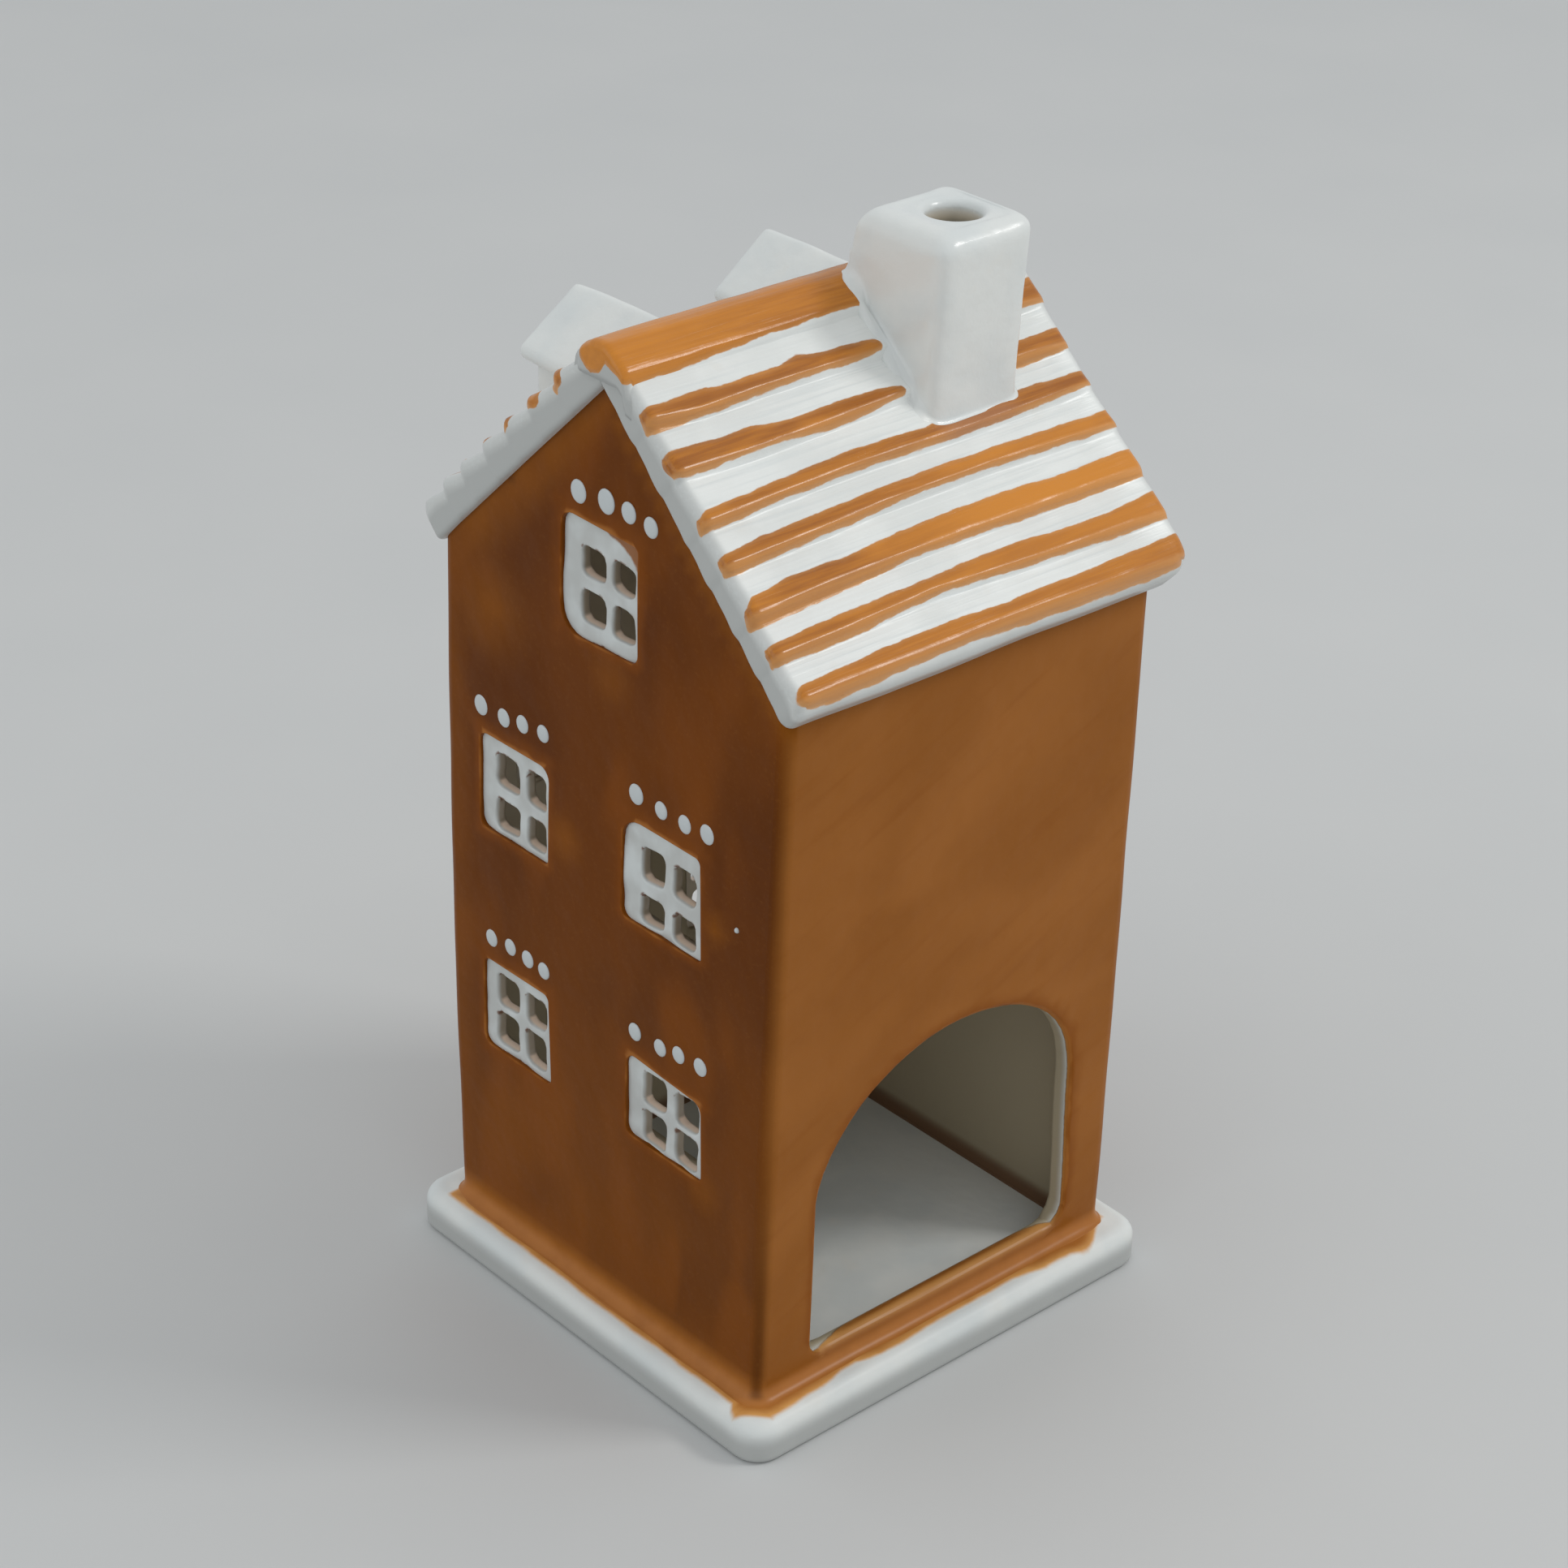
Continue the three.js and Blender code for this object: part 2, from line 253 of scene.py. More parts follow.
class Glaze:
    def __init__(self, name):
        self.material = bpy.data.materials.new(name)
        self.material.use_nodes = True
        self.tree = self.material.node_tree
        self.tree.nodes.clear()
        spot = self.add("ShaderNodeTexCoord")
        inMillimetres = self.add("ShaderNodeVectorMath", {"operation": "SCALE"},
                                 {"Vector": spot.outputs["Object"], "Scale": 1000.0})
        self.place = inMillimetres.outputs["Vector"]
        self.z = Value(self, self.add("ShaderNodeSeparateXYZ", {}, {"Vector": self.place}).outputs["Z"])

    def add(self, kind, settings={}, inputs={}):
        node = self.tree.nodes.new(kind)
        for key, value in settings.items():
            setattr(node, key, value)
        for key, value in inputs.items():
            if isinstance(value, Value):
                value = value.socket
            if isinstance(value, bpy.types.NodeSocket):
                self.tree.links.new(value, node.inputs[key])
            else:
                node.inputs[key].default_value = value
        return node

    def maths(self, operation, a, b=0.0):
        node = self.add("ShaderNodeMath", {"operation": operation}, {0: a, 1: b})
        return Value(self, node.outputs[0])

    def step(self, value, low, high):
        node = self.add("ShaderNodeMapRange", {"interpolation_type": "SMOOTHSTEP"},
                        {"Value": value, "From Min": low, "From Max": high})
        return Value(self, node.outputs["Result"])

    def blend(self, factor, a, b):  # from colour a to colour b
        a, b = [(*c, 1.0) if isinstance(c, tuple) else c for c in (a, b)]
        return self.add("ShaderNodeMix", {"data_type": "RGBA"}, {0: factor, 6: a, 7: b}).outputs[2]

    def layered(self, colour, tones, coats):  # each coat is how much of it shows, and its tone
        for factor, tone in coats:
            colour = self.blend(factor, colour, tones[tone])
        return colour

    def cloud(self, size, detail=2.0, rough=0.5, stretch=(1, 1, 1), turn=(0, 0, 0), seed=0.0, swirl=0.0):
        mapped = self.add("ShaderNodeMapping", {"vector_type": "TEXTURE"}, {
            "Vector": self.place, "Location": (seed * 9.1, seed * 15.7, seed * 6.3), "Rotation": turn,
            "Scale": tuple(size / k for k in stretch)})
        node = self.add("ShaderNodeTexNoise", {}, {"Vector": mapped.outputs[0], "Scale": 1.0, "Detail": detail,
                        "Roughness": rough, "Distortion": swirl})
        return Value(self, node.outputs["Fac"])

    def mark(self, name):  # a value kept on the mesh's points
        return Value(self, self.add("ShaderNodeAttribute", {"attribute_name": name}).outputs["Fac"])

    def finish(self, colour, rough, height, depth, coat=0.25, coatRough=0.08, level=0.5):
        bump = self.add("ShaderNodeBump", {}, {"Height": height, "Strength": 1.0, "Distance": depth / 1000})
        shader = self.add("ShaderNodeBsdfPrincipled", {}, {"Base Color": colour, "Roughness": rough,
                          "Normal": bump.outputs[0], "Coat Weight": coat, "Coat Roughness": coatRough,
                          "Specular IOR Level": level})
        self.add("ShaderNodeOutputMaterial", {}, {"Surface": shader.outputs[0]})
        return self.material


# The darker side white is painted shade on the roof's rakes, eaves and cap ends and on the plate's sides
whiteTones = {"body": (0.78, 0.80, 0.78), "bright": (0.85, 0.87, 0.85), "cool": (0.71, 0.745, 0.74),
              # the inside tone is painted shade in the rooms, the clay tone a painted light high up in them
              "warm": (0.77, 0.75, 0.69), "thin": (0.475, 0.487, 0.475), "inside": (0.45, 0.385, 0.27),
              # the darkest tone is painted shade deep in the flue
              "clay": (0.74, 0.66, 0.53), "soot": (0.11, 0.09, 0.05), "dot": (0.57, 0.61, 0.62),
              # the jamb tone is warm clay lightened as painted light in the panes, the sill tone a painted light on
              # their sills
              "frame": (0.53, 0.545, 0.53), "frameLight": (0.655, 0.69, 0.685), "jamb": (0.78, 0.69, 0.57),
              "sill": (0.93, 0.73, 0.58), "shade": (0.27, 0.215, 0.15)}
# The thin tone is thin glaze at the paint's edges, and also a painted highlight along the arch's sill
brownTones = {"light": (0.352, 0.128, 0.025), "arch": (0.300, 0.104, 0.017), "gable": (0.152, 0.039, 0.001),
              "deep": (0.120, 0.030, 0.001), "thin": (0.72, 0.37, 0.115), "olive": (0.245, 0.072, 0.003),
              # the darkest brown is a glaze streak at the front corner, and also a painted shadow under the roof
              "rust": (0.230, 0.060, 0.002), "foot": (0.44, 0.165, 0.034), "streakAndShadow": (0.080, 0.020, 0.001),
              "patch": (0.28, 0.095, 0.013)}
# The thin tone paints the lips' down-facing fronts paler: partly thin glaze, partly painted light
stripeTones = {"body": (0.50, 0.172, 0.012), "deep": (0.30, 0.085, 0.006), "amber": (0.70, 0.255, 0.020),
               "thin": (0.70, 0.335, 0.115), "worn": (0.47, 0.21, 0.10), "edge": (0.68, 0.35, 0.14)}


def whiteColour(glaze, body="body", cool="cool"):
    colour = glaze.layered(whiteTones[body], whiteTones, [
        (glaze.step(glaze.cloud(14, 3, 0.55, seed=3), 0.38, 0.66), cool),
        (glaze.step(glaze.cloud(6, seed=11), 0.62, 0.80) * 0.35, "warm"),
        # painted shade on the sides
        (glaze.mark("thin"), "thin"),
    ])
    # the rooms' insides: a dark tone low down as painted shade, a lighter clay tone high up as painted light
    lining = glaze.blend(glaze.step(glaze.z, 52, 80), whiteTones["inside"], whiteTones["clay"])
    colour = glaze.blend(glaze.mark("inside"), colour, lining)
    # deep in the flue, painted shade
    return glaze.blend(glaze.mark("soot"), colour, whiteTones["soot"])


def whiteHeight(glaze):
    return glaze.cloud(5, seed=5) * 0.7 + glaze.cloud(0.9, 2, 0.6, seed=8) * 0.12


def makeWhiteGlaze(name, body="body", cool="cool"):
    glaze = Glaze(name)
    rough = 0.26 + glaze.cloud(9, seed=2) * 0.10
    return glaze.finish(whiteColour(glaze, body, cool), rough, whiteHeight(glaze), 0.35)


def makeRoofGlaze(name):
    glaze = Glaze(name)
    fine = glaze.cloud(1.1, 3, 0.6, (1, 0.4, 1), seed=4) - 0.5
    broad = glaze.cloud(6, seed=9) - 0.5
    stripe = glaze.mark("stripe") + (fine * 0.5 + broad * 0.6)
    painted = glaze.step(stripe, -0.08, 0.12)
    thickness = glaze.step(stripe, 0.0, 0.75)
    below = glaze.mark("front")
    streaks = glaze.cloud(0.9, 3, 0.6, (1, 0.05, 1), seed=6)
    pooled = glaze.cloud(4, stretch=(1, 0.3, 1), seed=16)
    colour = glaze.layered(stripeTones["body"], stripeTones, [
        (glaze.step(streaks, 0.34, 0.66) * 0.8, "deep"),
        (glaze.step(pooled, 0.5, 0.72) * 0.5, "amber"),
        (glaze.mark("amber"), "amber"),
        # the lips' fronts: partly thin glaze, partly painted light
        (below * 0.6, "thin"),
        ((1 - thickness) * (0.25 + below * 0.45), "edge"),
        (glaze.mark("worn") * 0.6, "worn"),
    ])
    grooves = glaze.cloud(0.62, stretch=(1, 0.02, 1), seed=12)
    level = 1 - glaze.mark("thin")
    brushed = glaze.step(grooves, 0.5, 0.72) * level * 0.6
    bare = glaze.blend(brushed, whiteColour(glaze, "bright", "body"), whiteTones["cool"])
    height = whiteHeight(glaze) * 0.5 + grooves * level * 0.26 + thickness * 0.35
    rough = 0.30 - painted * 0.10 + glaze.cloud(8, seed=2) * 0.06
    return glaze.finish(glaze.blend(painted, bare, colour), rough, height, 0.35, coat=0.22, coatRough=0.16,
                        level=0.35)


def makeLatticeGlaze(name):  # greyer white, warm in the panes, brown where the wall's glaze ran over it
    glaze = Glaze(name)
    colour = glaze.layered(whiteTones["frame"], whiteTones, [
        (glaze.step(glaze.cloud(5, seed=3), 0.35, 0.75), "frameLight"),
        # the panes' jambs lightened and their sills lit as painted light, their left and upper sides in painted shade
        (glaze.mark("inside"), "jamb"),
        (glaze.mark("shade"), "shade"),
        (glaze.mark("sill"), "sill"),
    ])
    stain = glaze.mark("stain") * glaze.step(glaze.cloud(1.6, seed=9), 0.50, 0.60)
    over = glaze.mark("over") + (glaze.cloud(1.2, seed=4) - 0.5) * 0.5
    colour = glaze.layered(colour, brownTones, [
        (stain * 0.85, "gable"),
        (glaze.step(over, -0.1, 0.35), "patch"),
    ])
    rough = 0.28 + glaze.cloud(9, seed=2) * 0.10
    return glaze.finish(colour, rough, whiteHeight(glaze), 0.3, coatRough=0.15)


def makeHouseGlaze(name):  # brown outside, and white where the brush stopped
    glaze = Glaze(name)
    ragged = (glaze.cloud(1.7, 3, 0.6, seed=4) - 0.5) * 0.8
    coat = glaze.mark("glaze") + ragged * glaze.mark("loose")
    soft = glaze.mark("soft")
    painted = glaze.step(coat, -0.12 - soft * 0.2, 0.3 + soft * 0.3)
    brushTurn = (0.42, 0, 0)
    strokes = glaze.cloud(17, 2, 0.45, (1, 0.45, 1), brushTurn, seed=7, swirl=0.5)
    bands = glaze.cloud(2.6, 2, 0.5, (1, 0.12, 1), brushTurn, seed=27)
    arch = glaze.layered(brownTones["arch"], brownTones, [
        (glaze.step(strokes, 0.30, 0.70), "light"),
        (glaze.step(bands, 0.52, 0.78) * 0.22, "rust"),
    ])
    cloudy = glaze.cloud(24, 1, 0.4, (1, 1, 0.7), seed=1, swirl=0.4)
    rusty = glaze.cloud(13, 1, 0.4, (1, 1, 0.5), seed=17, swirl=0.4)
    gable = glaze.layered(brownTones["gable"], brownTones, [
        (glaze.step(cloudy, 0.36, 0.62), "deep"),
        (glaze.step(rusty, 0.48, 0.70) * 0.6, "rust"),
    ])
    grain = glaze.cloud(0.6, 2, 0.6, seed=15)
    edge = glaze.mark("edge") + (glaze.cloud(4.5, seed=13) - 0.5) * 1.5
    feather = glaze.cloud(2.6, stretch=(0.6, 0.6, 1), seed=23)
    lip = (1 - glaze.step(coat, 0.1, 1.3 + soft)) * (0.25 + feather * 0.9) * (0.5 + soft * 0.8)
    colour = glaze.layered(glaze.blend(glaze.mark("tone"), arch, gable), brownTones, [
        (glaze.mark("amber") * (0.45 + glaze.cloud(7, seed=19)), "olive"),
        (glaze.mark("warm") * (0.55 + glaze.cloud(4, seed=29) * 0.8), "foot"),
        # dark glaze streak at the front corner's foot, and a painted shadow line just under the roof
        (glaze.mark("dark"), "streakAndShadow"),
        (glaze.step(grain, 0.5, 0.8) * 0.07, "foot"),
        ((1 - glaze.step(edge, 0.4, 2.4)) * 0.65, "rust"),
        ((1 - glaze.step(edge, 0.1, 0.75)) * 0.7, "foot"),
        # the sill's crest: a painted highlight in the pale thin-glaze tone
        (lip + glaze.mark("crest"), "thin"),
    ])
    # the inner cove: brown glaze pooled in the crease, deepened as painted shade
    white = glaze.blend(glaze.mark("cove"), whiteColour(glaze), brownTones["deep"])
    height = glaze.cloud(7, seed=5) * 0.9 + glaze.cloud(1.3, 2, 0.6, seed=8) * 0.05 + painted * 0.3
    rough = 0.30 - painted * 0.02 + glaze.cloud(10, seed=2) * 0.08
    return glaze.finish(glaze.blend(painted, white, colour), rough, height, 0.35, coat=glaze.mark("gloss"),
                        coatRough=0.30, level=0.08)


whiteGlaze = makeWhiteGlaze("white_glaze_finish")
roofGlaze = makeRoofGlaze("striped_roof_finish")
houseGlaze = makeHouseGlaze("brown_glaze_finish")
latticeGlaze = makeLatticeGlaze("window_white_finish")
dotGlaze = makeWhiteGlaze("white_enamel_finish", "dot", "dot")
print("glazes ready")


# Roof

roofShape = {"pitch": 43.7, "apex": 152.5, "near": -35.2, "far": 36.9, "end": 52.1, "valley": 5.2, "lip": 6.3,
             "fall": 1.4, "firstValley": 3.0, "rakeRound": 1.25, "eaveRound": 2.2, "underRound": 0.9,
             "ridgeTop": 156.9, "farCorner": 3.0, "nearCorner": 1.5, "farEven": 5.9, "chamberX": 47, "chamberY": 33,
             "crest": 159.1, "bend": 0.075, "grid": 0.3, "gridAlong": 1.25}
pitchCos = math.cos(math.radians(roofShape["pitch"]))
pitchSin = math.sin(math.radians(roofShape["pitch"]))
drop = pitchSin / pitchCos

# Each painted course: its crest, the paint's upper and lower edge, and where the brush ran, all by y
archCourses = [
    {"crest": [(-34, 7.9), (-27, 8.6), (-17, 8.2), (37, 8.1)],
     "top": [(-35, 6.4), (-25, 6.15), (-22, 6.6), (-12, 6.25), (-9, 5.75), (-4, 6.15), (4.5, 6.65), (33, 5.4)],
     "bottom": [(-35, 9.9), (-31, 10), (-22, 9.6), (-12, 9.2), (-5, 8.9), (-3, 9.2), (4.5, 8.9), (33, 9.1)],
     "runs": [(-35.9, 5.75), (27, 39.5)], "amber": [(-35, 0.1), (37, 0.15)]},
    {"crest": [(-33.5, 15.75), (-22, 16), (-7, 15.5), (4.5, 15), (37, 15.4)],
     "top": [(-35, 12.85), (-27, 13.25), (-20.5, 13), (-18, 13.5), (-12, 13.75), (1, 13.5), (4.5, 14.1), (33, 13.1)],
     "bottom": [(-33.5, 17), (-27, 16.75), (-17, 16.5), (-8.5, 16.9), (-1, 16.5), (4.5, 15.75), (27, 17), (37, 16.5)],
     "runs": [(-36.1, 5.6), (25, 39.5)], "amber": [(-35, 0.05), (37, 0.1)]},
    {"crest": [(-33, 23.25), (-27, 23), (-17, 22.65), (-7, 22.35), (13, 22.5), (37, 22)],
     "top": [(-35.7, 22.75), (-34, 21.9), (-27, 21.5), (-17, 20.9), (-7, 20.4), (5.5, 20.75), (13, 20.4), (23, 20),
             (37, 20.25)],
     "bottom": [(-34, 24.75), (-27, 24.15), (-17, 23.75), (-7, 23.4), (13, 23.6), (23, 23.25), (37, 22.65)],
     "runs": [(-36.1, 39.5)], "amber": [(-35, 0.25), (5, 0.1), (37, 0.05)],
     "worn": [(6, 0), (10, 1), (20, 0.8), (24, 0)]},
    {"crest": [(-32.5, 29.6), (-17, 29), (-7, 28.5), (13, 28.3), (37, 28.8)],
     "top": [(-34.5, 28.25), (-27, 27.6), (-17, 27.1), (-7, 26.65), (8, 26.4), (23, 26.5), (37, 26.85)],
     "bottom": [(-33.5, 31.25), (-27, 30.75), (-17, 30.15), (-7, 29.6), (0.5, 29.15), (13, 29.25), (37, 29.75)],
     "runs": [(-35.8, 39.5)], "amber": [(-20, 0.1), (0, 0.45), (15, 0.7), (37, 0.6)]},
    {"crest": [(-33, 36.9), (-22, 36.3), (3, 35.9), (13, 36), (37, 36)],
     "top": [(-35.5, 36.2), (-34, 34.75), (-27, 33.85), (-17, 33.9), (-7, 33.1), (3, 32.85), (13, 32.75), (23, 33.25),
             (37, 33.1)],
     "bottom": [(-34, 38.85), (-27, 38.5), (-17, 37.9), (-7, 37.25), (3, 37.1), (13, 37.4), (37, 37.65)],
     "runs": [(-36.1, 39.5)], "amber": [(-20, 0.1), (-5, 0.5), (8, 0.9), (20, 1.0), (37, 0.9)]},
    {"crest": [(-33.5, 43), (-22, 42.75), (-7, 42), (3, 42.4), (13, 42.8), (37, 43.1)],
     "top": [(-34.5, 41.6), (-27, 41), (-7, 40.5), (3, 40.1), (10.5, 40), (18, 40.5), (25.5, 40.75), (33, 40.25),
             (37, 40)],
     "bottom": [(-35, 44.5), (-27, 44.35), (-19.5, 44.1), (-12, 43.4), (-4.5, 43), (3, 43.5), (13, 43.9),
                (23, 44.25), (37, 44.4)],
     "runs": [(-36.0, 39.5)], "amber": [(-25, 0.2), (-5, 0.45), (15, 0.6), (37, 0.6)]},
    {"crest": [(-33, 49.8), (-22, 49.5), (8, 49.5), (33, 49.9)],
     "top": [(-34.5, 48), (-27, 47.65), (-17, 47.1), (-7, 46.9), (3, 47.35), (13, 47.15), (37, 46.9)],
     "bottom": [(-33.5, 51.25), (-29.5, 51.6), (-19.5, 51), (-4.5, 50.6), (5.5, 51.25), (13, 51.4), (35.5, 51.6),
                (37, 50.5)],
     "runs": [(-34.9, 39.0)], "amber": [(-34, 0.45), (-15, 0.4), (15, 0.45), (37, 0.4)]},
]
capTongues = [(-7.4, 160), (-4.2, 157.6), (-3.4, 156), (-2.1, 154.7), (-1.1, 154.4), (0.7, 154.9), (1.2, 155.7),
              (1.9, 156.5), (2.6, 156.2), (3.4, 155.9), (4.6, 155.4), (5.9, 154.6), (7.4, 153.8)]
capPaint = [(-35, 3.25), (-30, 2.65), (-17, 2.25), (-7, 1.8), (2, 1.6), (26, 1.8), (37, 2.2)]


def dormerCourses():  # the other slope, painted by the same hand with its own wobble
    courses = []
    for k, course in enumerate(archCourses):
        shift = 0.3 * math.sin(2.1 * k + 0.6)

        def moved(name, seed):
            return [(y, s + shift + 0.35 * wobble(y, k * 9, seed, 0.12)) for y, s in course[name]]
        courses.append({"crest": moved("crest", 1), "top": moved("top", 2), "bottom": moved("bottom", 3),
                        "runs": [(-36.4 + 0.5 * k, 37.3)],
                        "amber": [(-35, 0.4 * (k % 3 == 1)), (37, 0.5 * (k % 2))]})
    return courses


courses = {1: archCourses, -1: dormerCourses()}


def courseHeight(s, y, side):  # height of the stepped courses over the slab's underside
    valley, lip, fall = roofShape["valley"], roofShape["lip"], roofShape["fall"]
    start = roofShape["firstValley"]
    if s < start:
        return valley
    for course in courses[side]:
        crest = along(course["crest"], y)
        if s <= crest:
            return valley + (lip - valley) * ((s - start) / (crest - start)) ** 1.25
        if s <= crest + fall:
            return valley + (lip - valley) * math.cos(math.pi / 2 * (s - crest) / fall)
        start = crest + fall
    return valley


def underCap(s):  # how thick the slab may be near the ridge, where the cap covers it
    lean = 1 - min(1.0, s / 6)
    return (roofShape["ridgeTop"] - roofShape["apex"] + s * pitchSin) / (lean * drop * pitchSin + pitchCos)


def capHeight(s):  # the ridge cap's own lip
    return 5.0 + 1.35 * (1 - step(s, 1.3, 3.3))


def onSlope(s, n):
    return s * pitchCos + n * pitchSin, roofShape["apex"] - s * pitchSin + n * pitchCos


def overPlane(x, height):  # how far down the slope, and how high over it, the surface above x lies
    n = 6.0
    for _ in range(8):
        s = (abs(x) - n * pitchSin) / pitchCos
        n = 0.5 * n + 0.5 * height(s)
    return s, n


def planeHeight(x, n):
    return roofShape["apex"] + n / pitchCos - abs(x) * drop


def roofSurface(x, y):  # height of the finished roof over a point
    side = 1 if x >= 0 else -1
    z = planeHeight(x, overPlane(x, lambda s: max(courseHeight(s, y, side), capHeight(s)))[1])
    ridge = roofShape["crest"] - roofShape["bend"] * x * x
    return min(z, ridge) if abs(x) < 4 else z


def stripeAt(s, y, side):  # how far inside the paint a place is, and what changes its tone
    stripe, amber, worn, front = -9.0, 0.0, 0.0, 0.0
    for course in courses[side]:
        upper, lower, crest = [along(course[name], y) for name in ("top", "bottom", "crest")]
        middle, half = (upper + lower) / 2, (lower - upper) / 2
        reach = max(min(y - a, b - y) for a, b in course["runs"])
        here = min(s - upper, lower - s)
        if reach < half:  # the brush leaves a round end
            here = half - math.hypot(s - middle, half - reach)
        near = 1 - step(abs(s - middle), 2.5, 4.5)
        stripe = max(stripe, here)
        amber = max(amber, near * along(course["amber"], y))
        worn = max(worn, near * along(course["worn"], y)) if "worn" in course else worn
        # the lip's front, paler in the glaze: partly thin glaze, partly painted light
        front = max(front, step(s, crest - 0.3, crest + 0.45) * (1 - step(s, crest + 2.6, crest + 3.4)))
    return {"stripe": stripe, "amber": amber, "worn": worn, "front": front}


def roofSlab(side):
    shape = roofShape
    near, far, end = shape["near"], shape["far"], shape["end"]
    bm = block((0, near, 0), (end, far, 1))
    insets = [0.04, 0.14, 0.3, 0.5, 0.75, 1.05, 1.4, 1.9, 2.5, 3.2]
    slices(bm, 2, [0.15, 0.4, 0.65, 0.85])
    slices(bm, 0, spread(0, end - insets[-1], shape["grid"])[1:] + [end - k for k in reversed(insets[:-1])])
    slices(bm, 1, edgeRows(near, far, insets, shape["gridAlong"]))
    marks = keepMarks(bm, ["stripe", "front", "amber", "worn", "thin", "inside"])
    for v in bm.verts:
        s, y, t = v.co
        rim = min(end - s, far - y, y - near)
        top = courseHeight(s, y, side)
        bulge = (top - shape["valley"]) / (shape["lip"] - shape["valley"])
        top += (shape["farEven"] - top) * 0.8 * step(y, far - 7.0, far - 0.4)  # the lips die away at the far rake
        radius = shape["rakeRound"] + (shape["eaveRound"] - shape["rakeRound"]) * step(s, end - 5, end - 1)
        crown = min(top - roundDrop(rim, radius) + 0.10 * wobble(s, y, 2, 0.25), underCap(s))
        base = roundDrop(rim, shape["underRound"])
        n = base + (crown - base) * t
        down = max(0.0, crown - n) if rim < 0.01 else 0.0  # on the slab's side, how far under its top
        paintS = s + down if end - s < 0.01 else s
        paintY = y - down if y - near < 0.01 else y
        paint = stripeAt(paintS, paintY + (down if far - y < 0.01 else 0), side)
        if t <= 0.5:
            paint["stripe"] = -3.0
        # the slab's rounded sides get the painted shade
        record(v, marks, **paint, thin=(1 - step(rim, 0.3, 1.6)) * (1 - 0.4 * step(t, 0.7, 1.0)))
        for edge, corner, way in ((far, shape["farCorner"], 1), (near, shape["nearCorner"], -1)):
            u, w = s - (end - corner), way * (y - edge) + corner
            if u > 0 and w > 0:
                pull = max(u, w) / math.hypot(u, w)
                s, y = end - corner + u * pull, edge + way * (w * pull - corner)
        y += step(y, far - 5, far) * (0.85 * step(s, 16, 37) + 0.16 * bulge + 0.2 * wobble(s, 0, 5, 0.3))
        y -= (1 - step(y, near, near + 4)) * (0.24 * bulge + 0.15 * wobble(s, 0, 6, 0.3))
        overChamber = t < 0.01 and s < shape["chamberX"] and abs(y) < shape["chamberY"]
        # the slab's underside over the rooms takes the insides' painted shade
        record(v, marks, inside=float(overChamber))
        s += step(s, end - 6, end) * 0.35 * (wobble(y, 3, 7, 0.06) + 0.008 * y - 0.3)
        s -= max(0.0, 1 - s / 6) * n * drop
        x, z = onSlope(s, n)
        v.co = (side * x - (0.2 if side > 0 else -0.25) * step(s, end - 8, end), y, z)
    return outward(bm)


ridgeShape = {"half": 7.4, "near": -35.95, "far": 37.25, "under": 156.0, "endUnder": 153.9, "crest": 159.05,
              "bend": 0.06, "endRound": 1.2, "thick": 3.2, "chimneyFrom": 6, "chimneyTo": 24.8, "grid": 0.25,
              "gridAlong": 1.25}


def ridgeCap():
    shape = ridgeShape
    half, near, far = shape["half"], shape["near"], shape["far"]
    bm = block((-half, near, 0), (half, far, 1))
    slices(bm, 2, [0.3, 0.6])
    slices(bm, 0, spread(-half, half, shape["grid"])[1:-1])
    slices(bm, 1, edgeRows(near, far, [0.04, 0.14, 0.3, 0.5, 0.8, 1.2, 1.7], shape["gridAlong"]))
    marks = keepMarks(bm, ["stripe", "front", "amber", "worn", "thin"])
    for v in bm.verts:
        x, y, t = v.co
        s, n = overPlane(x, capHeight)
        plane = planeHeight(x, n)
        curve = shape["crest"] - shape["bend"] * x * x
        top = min(plane, curve) - 0.35 * (1 - step(abs(plane - curve), 0, 1.1))
        rim = min(far - y, y - near)
        crown = top - roundDrop(rim, shape["endRound"]) + 0.12 * wobble(x, y, 12, 0.2)
        base = min(shape["under"] if y - near > 0.6 else shape["endUnder"], top - shape["thick"])
        z = base + (crown - base) * t
        stripe = along(capPaint, y) + 0.25 * wobble(y, 0, 14, 0.3) - s
        if y - near < 1.3:
            stripe = min(stripe, z - along(capTongues, x))
        y += (1 - step(y, near, near + 3)) * (0.9 * step(-x, 3.2, 5.2) + 0.7 * step(x, 5.5, 7))
        if x > 1 and shape["chimneyFrom"] < y < shape["chimneyTo"]:
            stripe = -3.0
        # the cap's ends and sides get the painted shade
        record(v, marks, stripe=stripe, amber=0.35 + 0.35 * (1 - step(y, -30, 0)),
               # the cap's lip front is paler: partly thin glaze, partly painted light
               front=0.25 * step(s, 1.2, 2.2), thin=1 - step(rim, 0.3, 1.6))
        v.co = (x, y, z)
    return outward(bm)


chimneyShape = {"x": 11.1, "y": 15.6, "width": 18.5, "depth": 17.2, "top": 168.65, "edge": 3.1, "taperX": 0.93,
                "taperY": 0.97, "leanX": -0.8, "leanY": -0.3, "low": 140, "fillet": 0.4, "bead": 1.5, "columns": 96,
                "square": 8.5, "flare": 2.0, "spread": 0.17, "spreadReach": 6.5, "spreadFrom": 1.5}
flueShape = {"x": 11.2, "y": 17.1, "radius": 3.9, "rim": 1.25,
             "rows": (146, 152, 158, 161, 163, 164.3, 165.3, 166.1, 166.8)}


